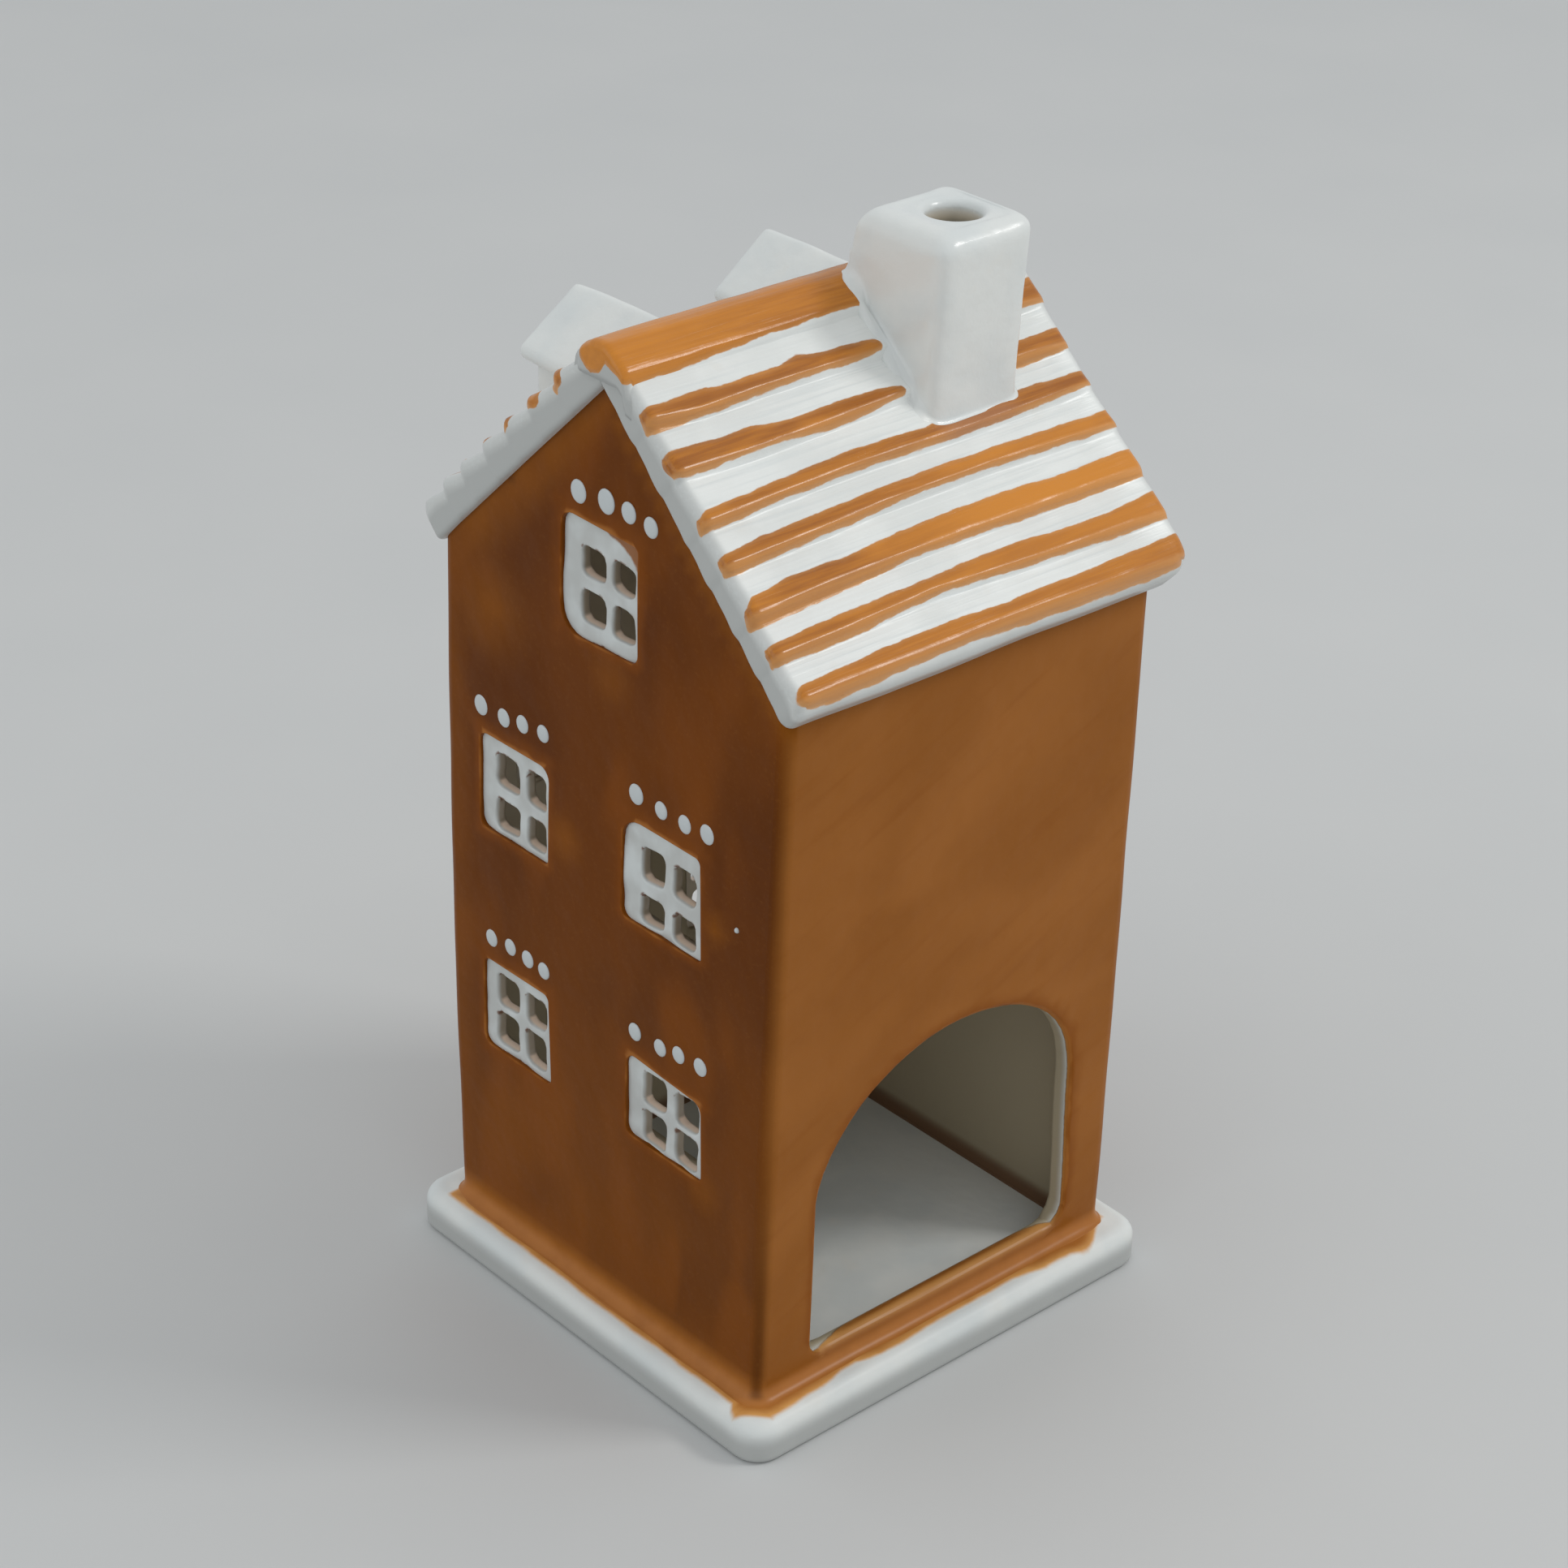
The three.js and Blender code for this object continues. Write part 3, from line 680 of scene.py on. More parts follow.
def chimney():
    shape, flue = chimneyShape, flueShape
    count = shape["columns"]
    bm = bmesh.new()
    bmesh.ops.create_circle(bm, cap_ends=False, radius=1, segments=count)
    ring = sorted(bm.verts, key=lambda v: math.atan2(v.co.y, v.co.x))
    angles = [math.atan2(v.co.y, v.co.x) for v in ring]
    top, edge = shape["top"], shape["edge"]

    def ridgeCorner(angle):  # 1 at the corner that stands on the ridge
        return step(-math.cos(angle), 0.1, 0.6) * step(-math.sin(angle), 0.1, 0.5)

    def side(angle, inward, z):  # a point on the block's rounded square
        t = min(1.0, max(0.0, (top - z) / (top - shape["low"])))
        power = 2 / shape["square"]
        c, d = math.cos(angle), math.sin(angle)
        a = shape["width"] / 2 * (1 + (shape["taperX"] - 1) * t) - inward
        b = shape["depth"] / 2 * (1 + (shape["taperY"] - 1) * t) - inward
        below = min(shape["spreadReach"], max(0.0, top - shape["spreadFrom"] - z))
        pulled = shape["spread"] * ridgeCorner(angle) * below
        a, b = a + pulled, b + pulled * 0.5
        x = shape["x"] + shape["leanX"] * t + math.copysign(abs(c) ** power, c) * a
        y = shape["y"] + shape["leanY"] * t + math.copysign(abs(d) ** power, d) * b
        return Vector((x, y, z))

    def bore(angle, radius, z):
        return Vector((flue["x"] + radius * math.cos(angle), flue["y"] + radius * math.sin(angle), z))

    def foot(angle, out, rise):
        spot = side(angle, -out, shape["low"] + 8)
        return Vector((spot.x, spot.y, roofSurface(spot.x, spot.y) + rise))

    fillets = [shape["fillet"] + shape["bead"] * max(0.0, -math.sin(a)) ** 0.7 * (1 - step(math.cos(a), 0.1, 0.72))
               * (1 - 0.6 * ridgeCorner(a)) for a in angles]
    heights = [r * (1 + shape["flare"] * ridgeCorner(a)) for a, r in zip(angles, fillets)]
    rows = [[bore(a, flue["radius"], z) for a in angles] for z in (*flue["rows"], top - flue["rim"])]
    for k in range(1, 6):
        turn = math.pi / 2 * k / 5
        radius = flue["radius"] + flue["rim"] * (1 - math.cos(turn))
        rows.append([bore(a, radius, top - 0.12 - flue["rim"] * (1 - math.sin(turn))) for a in angles])
    rim = rows[-1]
    edges = [edge - 1.5 * max(0.0, math.sin(a)) for a in angles]
    shoulder = [side(a, e, top) for a, e in zip(angles, edges)]
    for k in (0.2, 0.4, 0.6, 0.8):
        sunk = Vector((0, 0, -0.10 * math.sin(math.pi * k)))
        rows.append([p.lerp(q, k) + sunk for p, q in zip(rim, shoulder)])
    for k in range(7):
        turn = math.pi / 2 * k / 6
        inward, down = 1 - math.sin(turn), 1 - math.cos(turn)
        rows.append([side(a, e * inward, top - e * down) for a, e in zip(angles, edges)])
    lowest = [foot(a, 0, high) for a, high in zip(angles, heights)]
    start = rows[-1]
    for k in range(1, 15):
        row = []
        for a, p, q in zip(angles, start, lowest):
            z = p.z + (q.z - p.z) * k / 14
            row.append(side(a, 0, z).lerp(Vector((q.x, q.y, z)), step(k, 8, 14)))
        rows.append(row)
    for k in range(1, 6):
        turn = math.pi / 2 * k / 5
        out = 1 - math.cos(turn)
        row = []
        for a, r, high in zip(angles, fillets, heights):
            swell = r * (1 + 0.35 * wobble(5 * math.cos(a), 5 * math.sin(a), 21, 0.5) * out)
            row.append(foot(a, swell * out, high * (1 - math.sin(turn))))
        rows.append(row)
    rows.append([foot(a, r * 1.1, -1.8) for a, r in zip(angles, fillets)])
    rows.append([foot(a, -1.5, -3.2) for a in angles])
    for v, spot in zip(ring, rows[0]):
        v.co = spot
    edges = bm.edges[:]
    for row in rows[1:]:
        grown = bmesh.ops.extrude_edge_only(bm, edges=edges)["geom"]
        edges = [e for e in grown if isinstance(e, bmesh.types.BMEdge) and e.is_boundary]
        previous = {v: i for i, v in enumerate(ring)}
        ring = [None] * count
        for v in newVerts(grown):
            for e in v.link_edges:
                other = e.other_vert(v)
                if other in previous:
                    ring[previous[other]] = v
        for v, spot in zip(ring, row):
            v.co = spot
    bmesh.ops.bridge_loops(bm, edges=rimEdges(bm))
    marks = keepMarks(bm, ["inside", "soot"])
    for v in bm.verts:
        below = top - v.co.z
        if math.hypot(v.co.x - flue["x"], v.co.y - flue["y"]) < flue["radius"] + 0.1:
            # deep in the flue: the inside lining tone, then painted shade
            record(v, marks, inside=step(below, 1.0, 2.4), soot=0.95 * step(below, 1.8, 4.3))
        else:
            fade = step(below, 0.3, 5)
            v.co.x += 0.25 * fade * wobble(v.co.y, v.co.z, 31, 0.12)
            v.co.y += 0.25 * fade * wobble(v.co.x, v.co.z, 32, 0.12)
    return outward(bm)


def flueDrill():
    bm = bmesh.new()
    bored = flueShape["radius"] + 0.05
    bmesh.ops.create_cone(bm, cap_ends=True, segments=48, radius1=bored, radius2=bored, depth=60,
                          matrix=Matrix.Translation((flueShape["x"], flueShape["y"], 150)))
    return bm


makePiece("roof_arch_side", carve(roofSlab(1), flueDrill()), roofGlaze, ["roof_slab_arch_side"])
makePiece("ridge", ridgeCap(), roofGlaze, ["ridge_cap"])
makePiece("chimney_stack", chimney(), whiteGlaze, ["chimney"])


# Dormers

dormerShape = {"centre": 17.5, "front": 26.0, "wall": 2.4, "half": 8.0, "roofHalf": 9.2, "apex": 152.8,
               "slope": 0.755, "roofFront": 27.5, "thick": 2.5, "openingEnd": 13.0, "windowZ": 143.2, "grid": 1.5,
               "roofGrid": 1.1}


def cutAlongSlope(bm, height, side, way):  # cuts off what is past a plane along a slope, and closes the cut
    bmesh.ops.bisect_plane(bm, geom=everything(bm), dist=1e-4, plane_co=(0, 0, roofShape["apex"] + height),
                           plane_no=(side * pitchSin, 0, way * pitchCos), clear_outer=True)
    bmesh.ops.triangle_fill(bm, edges=rimEdges(bm), use_beauty=True)


def gableOutline(at, half, apex, bottom):
    eave = apex - dormerShape["slope"] * half
    return [(at - half, bottom), (at + half, bottom), (at + half, eave), (at, apex), (at - half, eave)]


def dormerSlab():
    bm = roofSlab(-1)
    shape = dormerShape
    inner = shape["half"] - shape["wall"]
    for at in (-shape["centre"], shape["centre"]):
        hole = block((-shape["front"] + shape["wall"], at - inner, 100), (-shape["openingEnd"], at + inner, 170))
        bm = carve(bm, hole)
    return bm


def dormerRoof(at):
    shape = dormerShape
    half = shape["roofHalf"]
    low = shape["apex"] - shape["slope"] * half
    ridge = shape["apex"] + shape["thick"]
    right = [(0, ridge - 0.2), (half + 0.9, low + 1.9), (half + 0.9, low + 0.6), (half, low - 0.2),
             (0, shape["apex"] - 0.2)]
    left = [(-a, b) for a, b in reversed(right[1:-1])]
    bm = prism([(at + a, b) for a, b in right + left], -shape["roofFront"], -1.5, 0)
    soften(bm, sharpEdges(bm, lambda m: m.x < -2), 1.0)
    grid = shape["roofGrid"]
    slices(bm, 0, spread(-shape["roofFront"] + grid, -2.5, grid))
    slices(bm, 1, [at + k for k in spread(-half, half, grid)])
    slices(bm, 2, spread(low, ridge - 1, grid))
    for _ in range(5):
        smoothed(bm, [v for v in bm.verts if v.co.x < -3])
    for v in bm.verts:
        v.co.z += 0.35 * wobble(v.co.x, v.co.y, 41, 0.10)
        v.co.y += 0.25 * wobble(v.co.x, v.co.z, 42, 0.10)
        v.co.x += 0.25 * wobble(v.co.y, v.co.z, 43, 0.10)
    return bm


def dormerBody(at):
    shape = dormerShape
    front, half, wall = shape["front"], shape["half"], shape["wall"]
    grow = math.hypot(1, shape["slope"])
    bm = prism(gableOutline(at, half, shape["apex"] + 0.6, 118), -front, -6, 0)
    inner = gableOutline(at, half - wall, shape["apex"] - wall * grow, 100)
    bm = carve(bm, prism(inner, -front + wall, 0, 0))
    bm = carve(bm, windowBlock(dormerWindow(at), "x", -front - 3, -front + wall + 1))
    cutAlongSlope(bm, 1.0, 1, -1)
    outward(bm)
    soften(bm, sharpEdges(bm, lambda m: m.x < -front + 0.1), 0.5)
    grid = shape["grid"]
    slices(bm, 0, spread(-front + 0.8, -7, grid))
    slices(bm, 1, [at + k for k in spread(-half + 0.8, half - 0.8, grid)])
    slices(bm, 2, spread(126, 153, grid))
    marks = keepMarks(bm, ["inside"])
    for v in bm.verts:
        record(v, marks, inside=step(min(half - abs(v.co.y - at), v.co.x + front), 1.5, 2.3))
    return bm


# Walls

# Lighter places in the gable's glaze: place, reach and strength
gablePatches = [(-8.7, 80.5, 5.5, 0.95), (22.9, 81, 4, 0.95), (1, 110, 6, 0.6), (22.5, 37, 5, 0.7),
                (-25, 111, 12, 0.9), (-24, 23, 13, 0.5), (-3, 18, 10, 0.35), (15, 27, 8, 0.3)]
houseShape = {"halfX": 35.2, "halfY": 35.6, "wall": 3.5, "corner": 2.0, "foot": 6.3, "plateTop": 6.9,
              "flareX": 1.85, "flareY": -1.3, "flareHeight": 110.0, "bow": 0.85, "fillet": 2.2, "cove": 1.5,
              "intoRoof": 2.0, "grid": 2.1, "skin": 1.2, "lining": 0.6, "archLow": 8.5, "archHigh": 60,
              "archHalf": 30}
sillShape = {"low": 8.4, "high": 10.9, "near": -24.9, "far": 26.6, "top": 10.4, "roll": 0.95}

# Windows by their corners (upper left, upper right, lower right, lower left), each corner's rounding,
# the two columns and two rows of panes, the dots over them, and how much of a corner the wall's glaze cuts off
gableWindows = [
    {"corners": [(-9.7, 131.6), (6.3, 131.2), (6.6, 113.9), (-10.1, 113.3)], "round": [2.2, 0.8, 1.6, 4.2],
     "columns": [(-6.15, -1.05), (0.6, 5.1)], "rows": [(116.15, 120.65), (123.1, 127.25)], "cut": (8.6, 5.0),
     "dots": [(-6.1, 135.25, 1.65), (-0.2, 135.8, 1.75), (4.5, 135.8, 1.5), (9.1, 135.3, 1.45)]},
    {"corners": [(-28.2, 90), (-12.7, 90), (-12.9, 74.4), (-28.1, 74.5)], "round": [1.6, 2.0, 0.9, 1.8],
     "columns": [(-25.1, -20.25), (-18.35, -14.1)], "rows": [(75.4, 80.1), (82.3, 87.5)],
     "dots": [(-28.2, 94.25, 1.55), (-22.9, 94.3, 1.4), (-18.6, 95, 1.35), (-13.9, 95.4, 1.3)]},
    {"corners": [(3.7, 90), (20.3, 90), (20.9, 74), (3.7, 74)], "round": [3.6, 0.9, 0.7, 1.6],
     "columns": [(7.55, 12.2), (14.35, 18.85)], "rows": [(74.6, 79), (81.5, 86.5)],
     "dots": [(6.75, 94.5, 1.5), (12.1, 94.25, 1.3), (17.1, 94.25, 1.35), (21.75, 94.7, 1.45)]},
    {"corners": [(-27.6, 52.3), (-13, 52.3), (-12.3, 37.2), (-27.6, 37.4)], "round": [1.4, 1.0, 0.9, 1.8],
     "columns": [(-25.3, -20.6), (-18.8, -14.2)], "rows": [(38.3, 43.75), (45.2, 50.2)],
     "dots": [(-26.2, 56.25, 1.35), (-21.7, 56.75, 1.3), (-17.6, 56.6, 1.35), (-13.8, 56.4, 1.3)]},
    {"corners": [(5.2, 51.9), (21.6, 51), (21.9, 38.2), (5.2, 38.3)], "round": [1.8, 1.6, 0.8, 1.6],
     "columns": [(8.5, 13.4), (15.6, 20.3)], "rows": [(38.6, 43.75), (45, 50.2)],
     "dots": [(7.1, 56.2, 1.35), (12.7, 56.3, 1.3), (16.7, 57.1, 1.3), (21.4, 57.4, 1.35)]},
]


# A window of the same make where none was measured
def plainWindow(at, z, wide, high, pane=(4.7, 4.8, 1.9), low=0.6, bend=1.6):
    w, h, bar = pane
    columns = [(at - bar / 2 - w, at - bar / 2), (at + bar / 2, at + bar / 2 + w)]
    middle = z - low
    rows = [(middle - bar / 2 - h, middle - bar / 2), (middle + bar / 2, middle + bar / 2 + h)]
    corners = [(at - wide / 2, z + high / 2), (at + wide / 2, z + high / 2), (at + wide / 2, z - high / 2),
               (at - wide / 2, z - high / 2)]
    dots = [(at + k * wide * 0.29, z + high / 2 + 4.4, 1.4) for k in (-1.5, -0.5, 0.5, 1.5)]
    return {"corners": corners, "round": [bend] * 4, "columns": columns, "rows": rows, "dots": dots}


backWindows = gableWindows[:3]  # the far gable is plain below its middle row
frontWindows = [plainWindow(at, z, 15.6, 15.2) for z in (45, 82.3) for at in (-16.4, 16.4)]
# Each wall's windows, the axis it faces along, and the turn that stands them there
wallFaces = [("gable", gableWindows, "y", 0), ("back", backWindows, "y", math.pi), ("front", frontWindows, "x", 0)]


def dormerWindow(at):
    return plainWindow(at, dormerShape["windowZ"], 9.2, 8.2, (2.6, 2.4, 1.1), 0.2, 1.2)


def leanOut(x, y, z):  # the walls flare along x and close in along y towards the eaves
    t = (z - houseShape["plateTop"]) / houseShape["flareHeight"]
    leanX, leanY = [1 + houseShape[f"flare{k}"] / houseShape[f"half{k}"] * t for k in "XY"]
    return x * leanX, y * leanY, z


def stoodUp(a, z, across):  # a measured place on a leaning wall, taken back to the upright block
    return a / leanOut(1, 1, z)["xy".index(across)]


def bowed(x, y, z):  # the wall opposite the arch swells out in its middle
    swell = houseShape["bow"] * math.sin(math.pi * min(1.0, max(0.0, (z - 8) / 112)))
    return Vector((x - swell * step(-x, 18, 33), y, z))


def windowCorners(window, across):
    return [(stoodUp(a, z, across), z) for a, z in window["corners"]]


def windowBlock(window, facing, low, high):  # the hole that a window fills
    axis = "xy".index(facing)
    inDormer = facing == "x" and abs(low) < 30
    outline = window["corners"] if inDormer else windowCorners(window, "yx"[axis])
    bm = prism(outline, low, high, axis)
    for corner, radius in zip(outline, window["round"]):
        edges = [e for e in bm.edges if all(math.dist((v.co[1 - axis], v.co.z), corner) < 1e-3 for v in e.verts)]
        soften(bm, edges, radius, 5)
    return bm


archLine = [(-25.1, 12.6), (-25.1, 24), (-25.1, 33), (-25.1, 37.5), (-24.7, 39.6), (-23.9, 41.9), (-22.7, 44.2),
            (-21.2, 46.4), (-19.2, 48.8), (-17.1, 50.8), (-15.1, 52.3), (-13, 53.5), (-10.9, 54.6), (-8.8, 55.45),
            (-6.7, 56.15), (-4.7, 56.7), (-2.5, 57.05), (-0.5, 57.25), (1.6, 57.3), (3.7, 57.2), (5.8, 57.0),
            (7.8, 56.65), (9.9, 56.2), (12, 55.6), (14.1, 54.8), (16.2, 53.7), (18.3, 52.4), (20.3, 50.8),
            (22.1, 48.9), (23.6, 46.6), (24.7, 44.1), (25.4, 41.2), (25.75, 38.3), (25.8, 34), (26.1, 28),
            (26.5, 22), (26.75, 15), (26.75, 13.4), (26.2, 11.8), (25.0, 10.8), (23.4, 10.4), (-22.9, 10.4),
            (-24.1, 10.75), (-24.85, 11.5)]
sillEdge = [(-24.4, 34.7), (-21, 33.7), (-16, 32.3), (0, 31.8), (18, 32.1), (23, 33.2), (26.5, 34.5)]


def archOutline():
    return [(stoodUp(y, z, "y"), z) for y, z in archLine]


def toLine(a, z, points):  # how far a place is from a closed line
    best = 99.0
    for (p, q), (r, s) in zip(points, points[1:] + points[:1]):
        u, w = r - p, s - q
        t = min(1.0, max(0.0, ((a - p) * u + (z - q) * w) / (u * u + w * w)))
        best = min(best, math.hypot(a - p - t * u, z - q - t * w))
    return best


def depthAt(x, y):  # depth behind the walls' outer face, and the way out of it
    shape = houseShape
    hx, hy, corner = shape["halfX"], shape["halfY"], shape["corner"]
    u, w = max(0.0, abs(x) - (hx - corner)), max(0.0, abs(y) - (hy - corner))
    if u > 0 and w > 0:
        length = math.hypot(u, w)
        return corner - length, Vector((math.copysign(u / length, x), math.copysign(w / length, y), 0))
    if hx - abs(x) < hy - abs(y):
        return hx - abs(x), Vector((math.copysign(1, x), 0, 0))
    return hy - abs(y), Vector((0, math.copysign(1, y), 0))


def walls():
    shape = houseShape
    hx, hy, wall = shape["halfX"], shape["halfY"], shape["wall"]
    low, high, half = shape["archLow"], shape["archHigh"], shape["archHalf"]
    bm = block((-hx, -hy, shape["foot"]), (hx, hy, 170))
    soften(bm, [e for e in bm.edges if abs(e.verts[0].co.z - e.verts[1].co.z) > 1], shape["corner"], 6)
    bm = carve(bm, block((-hx + wall, -hy + wall, 0), (hx - wall, hy - wall, 200)))
    for side in (1, -1):  # the gables end under the roof's two slopes
        cutAlongSlope(bm, shape["intoRoof"] / pitchCos, side, 1)
    bm = carve(bm, prism(archOutline(), 30, 40, 0))
    for _, windows, facing, turn in wallFaces:
        face = hy if facing == "y" else hx
        for window in windows:
            bm = carve(bm, turned(windowBlock(window, facing, -face - 4, -face + wall + 2), turn))
    bmesh.ops.remove_doubles(bm, verts=bm.verts, dist=0.001)
    bmesh.ops.dissolve_limit(bm, angle_limit=math.radians(0.5), verts=bm.verts, edges=bm.edges)

    def outside(m):
        return depthAt(m.x, m.y)[0] < 0.05 and low < m.z

    def overArch(m):
        return outside(m) and m.x > 30 and m.z < high and abs(m.y) < half

    def underRoof(m):
        return m.z < roofShape["apex"] - abs(m.x) * drop + 0.5

    def innerArch(m):
        return abs(m.x - (hx - wall)) < 0.05 and low < m.z < high and abs(m.y) < half
    soften(bm, sharpEdges(bm, overArch), 0.8, 4)
    soften(bm, sharpEdges(bm, lambda m: outside(m) and underRoof(m) and not overArch(m)), 0.45)
    soften(bm, sharpEdges(bm, innerArch), 0.6)
    footRows = [6.9, 7.0, 7.15, 7.35, 7.6, 7.9, 8.25, 8.65, 9.1]
    sillRows = [9.4, 9.7, 9.95, 10.15, 10.3]
    inArchWall = [31.95, 32.2, 32.5, 32.8, 33.15, 33.5, 33.85, 34.15, 34.45, 34.75, 34.98]
    slices(bm, 2, footRows + sillRows + spread(11.5, 156, shape["grid"]))
    slices(bm, 0, spread(-33, 31.2, shape["grid"]) + inArchWall)
    slices(bm, 1, spread(-33.4, 33.4, shape["grid"]))
    return bm


def finishWalls(bm):
    shape, sill = houseShape, sillShape
    hx, hy, wall = shape["halfX"], shape["halfY"], shape["wall"]
    marks = keepMarks(bm, ["glaze", "loose", "edge", "tone", "amber", "inside", "warm", "dark", "gloss", "cove",
                           "crest"])
    arch = archOutline()
    outlines = [windowCorners(window, "x") for window in gableWindows]
    plain = [windowCorners(window, "y") for window in frontWindows]
    middle, half = hx - wall / 2, wall / 2
    for v in bm.verts:
        x, y, z = v.co
        depth, out = depthAt(x, y)
        onFace, onLining = depth < shape["skin"], depth > wall - shape["lining"]
        overSill = x > hx - wall - 0.1 and sill["low"] < z < sill["high"] and sill["near"] < y < sill["far"]
        fade = step(y, -24.6, -21.5) * (1 - step(y, 23.2, 26.6)) if overSill else 0.0
        if overSill:
            u = min(1.0, abs(x - middle) / half)
            roll = sill["top"] - fade * half * sill["roll"] * (1 - math.sqrt(max(0.0, 1 - u * u)))
            z = min(z, roll + (0.0 if fade > 0.02 else 9))
        edge, patch = 6.0, 0.0
        if out.y and onFace:
            a = x if y < 0 else -x
            for corners in outlines if y < 0 else outlines[:3]:
                centreA, centreZ = [(p + q) / 2 for p, q in zip(corners[0], corners[2])]
                if abs(a - centreA) < 16 and abs(z - centreZ) < 17:
                    above = 0.5 if z > min(corners[0][1], corners[1][1]) else 0.0  # the glaze thins over a frame
                    edge = min(edge, 0.45 - above + toLine(a, z, corners) * (1 - 0.3 * above))
            patch = max(strength * (1 - step(math.hypot(a - at, z - up), 0, reach))
                        for at, up, reach, strength in gablePatches)
        if out.x and onFace:
            if x < 0:
                edge = min(edge, 0.45 + min(toLine(y, z, corners) for corners in plain))
            elif z < 66:
                edge = min(edge, toLine(y, z, arch) + 6 * (1 - step(z, 10.6, 13)))
        glazed = 2.5 * ((1.15 if out.y or x < 0 else 0.75) - depth)
        if x > hx - wall - 0.5 and 9 < z < 11 and fade > 0.3:
            glazed = x - along(sillEdge, y)
        if onLining:
            glazed = -3.0
        corner = math.hypot(max(0.0, abs(x) - hx + 1.6), max(0.0, abs(y) - hy + 1.6))
        under = roofShape["apex"] - abs(x) * drop - z
        amber = 0.9 * (1 - step(under, 2.5, 6.0 + 9.0 * step(-x, -5, 22))) + 0.5 * (1 - step(z, 9, 13))
        amber = max(amber, patch, 0.5 * (1 - step(x, -34.5, -27))) if out.y else amber * 0.4
        nearCorner = math.hypot(x - hx, y + hy)
        # dark glaze streak at the front corner; just under the roof, a painted shadow line
        dark = 0.8 * (1 - step(nearCorner, 0.4, 1.9)) * (1 - step(z, 10, 55)) * step(z, 7.2, 8)
        shadow = (1 - step(under, 0.2, 1.6)) * 0.7 if out.y and depth < 1 else 0.0
        # a painted highlight band along the sill's crest, in the thin glaze tone
        sillHighlight = max(0.0, 1 - ((x - middle - 0.75) / (0.5 * half)) ** 2)
        gloss = 0.3 * (1 - step(z, 8.2, 9.6)) if depth < 0.5 else 0.0
        # the cove tone is brown glaze pooled in the inner crease, deepened as painted shade
        record(v, marks, glaze=max(-3.0, min(3.0, glazed)), loose=0.8,
               edge=min(edge, 6 - 5.0 * step(corner, 1.0, 1.9)) if onFace else 6.0,
               tone=out.y ** 2 * (0.82 + 0.18 * step(z, 30, 90)), amber=min(1.0, amber),
               inside=step(depth, 0.3, 2.0), dark=max(dark, shadow), crest=0.5 * fade * sillHighlight,
               warm=1 - step(z, 7.6, 12.0 if out.y else 9.8) if depth < 1 else 0.0,
               gloss=0.35 if fade > 0.05 else gloss, cove=0.75 * (1 - step(z, 7.4, 9.6)) if onLining else 0.0)
        overPlate = max(0.0, z - shape["plateTop"])
        if depth < 0.3:
            grown = roundDrop(overPlate, shape["fillet"]) * (1 - 0.55 * max(step(y, 30, 36), step(-x, 30, 35)))
            x, y = x + out.x * grown, y + out.y * grown
        if depth > wall - 0.3:
            grown = roundDrop(overPlate, shape["cove"])
            x -= math.copysign(grown, x) if hx - wall - abs(x) < 0.3 else 0
            y -= math.copysign(grown, y) if hy - wall - abs(y) < 0.3 else 0
        x, y, z = leanOut(x, y, z)
        spot = bowed(x, y, z)
        if depth < 0.5:
            spot += out * (0.16 * wobble(x + y, z, 51, 0.06))
        v.co = spot
    bmesh.ops.remove_doubles(bm, verts=bm.verts, dist=0.004)
    bmesh.ops.dissolve_degenerate(bm, edges=bm.edges, dist=0.004)
    return bm


makePiece("house_walls", finishWalls(walls()), houseGlaze,
          ["window_gable_wall", "back_gable_wall", "arch_wall", "front_wall"], weighted=True)


# Window lattices

latticeShape = {"recess": 0.55, "depth": 2.0, "paneRound": 1.1, "cell": 0.22, "rounds": 6, "wider": 0.15,
                "overlap": 0.3}
smallLattice = {"recess": 0.35, "depth": 1.6, "paneRound": 0.6, "cell": 0.16, "rounds": 4, "wider": 0.1,
                "overlap": 0.2}


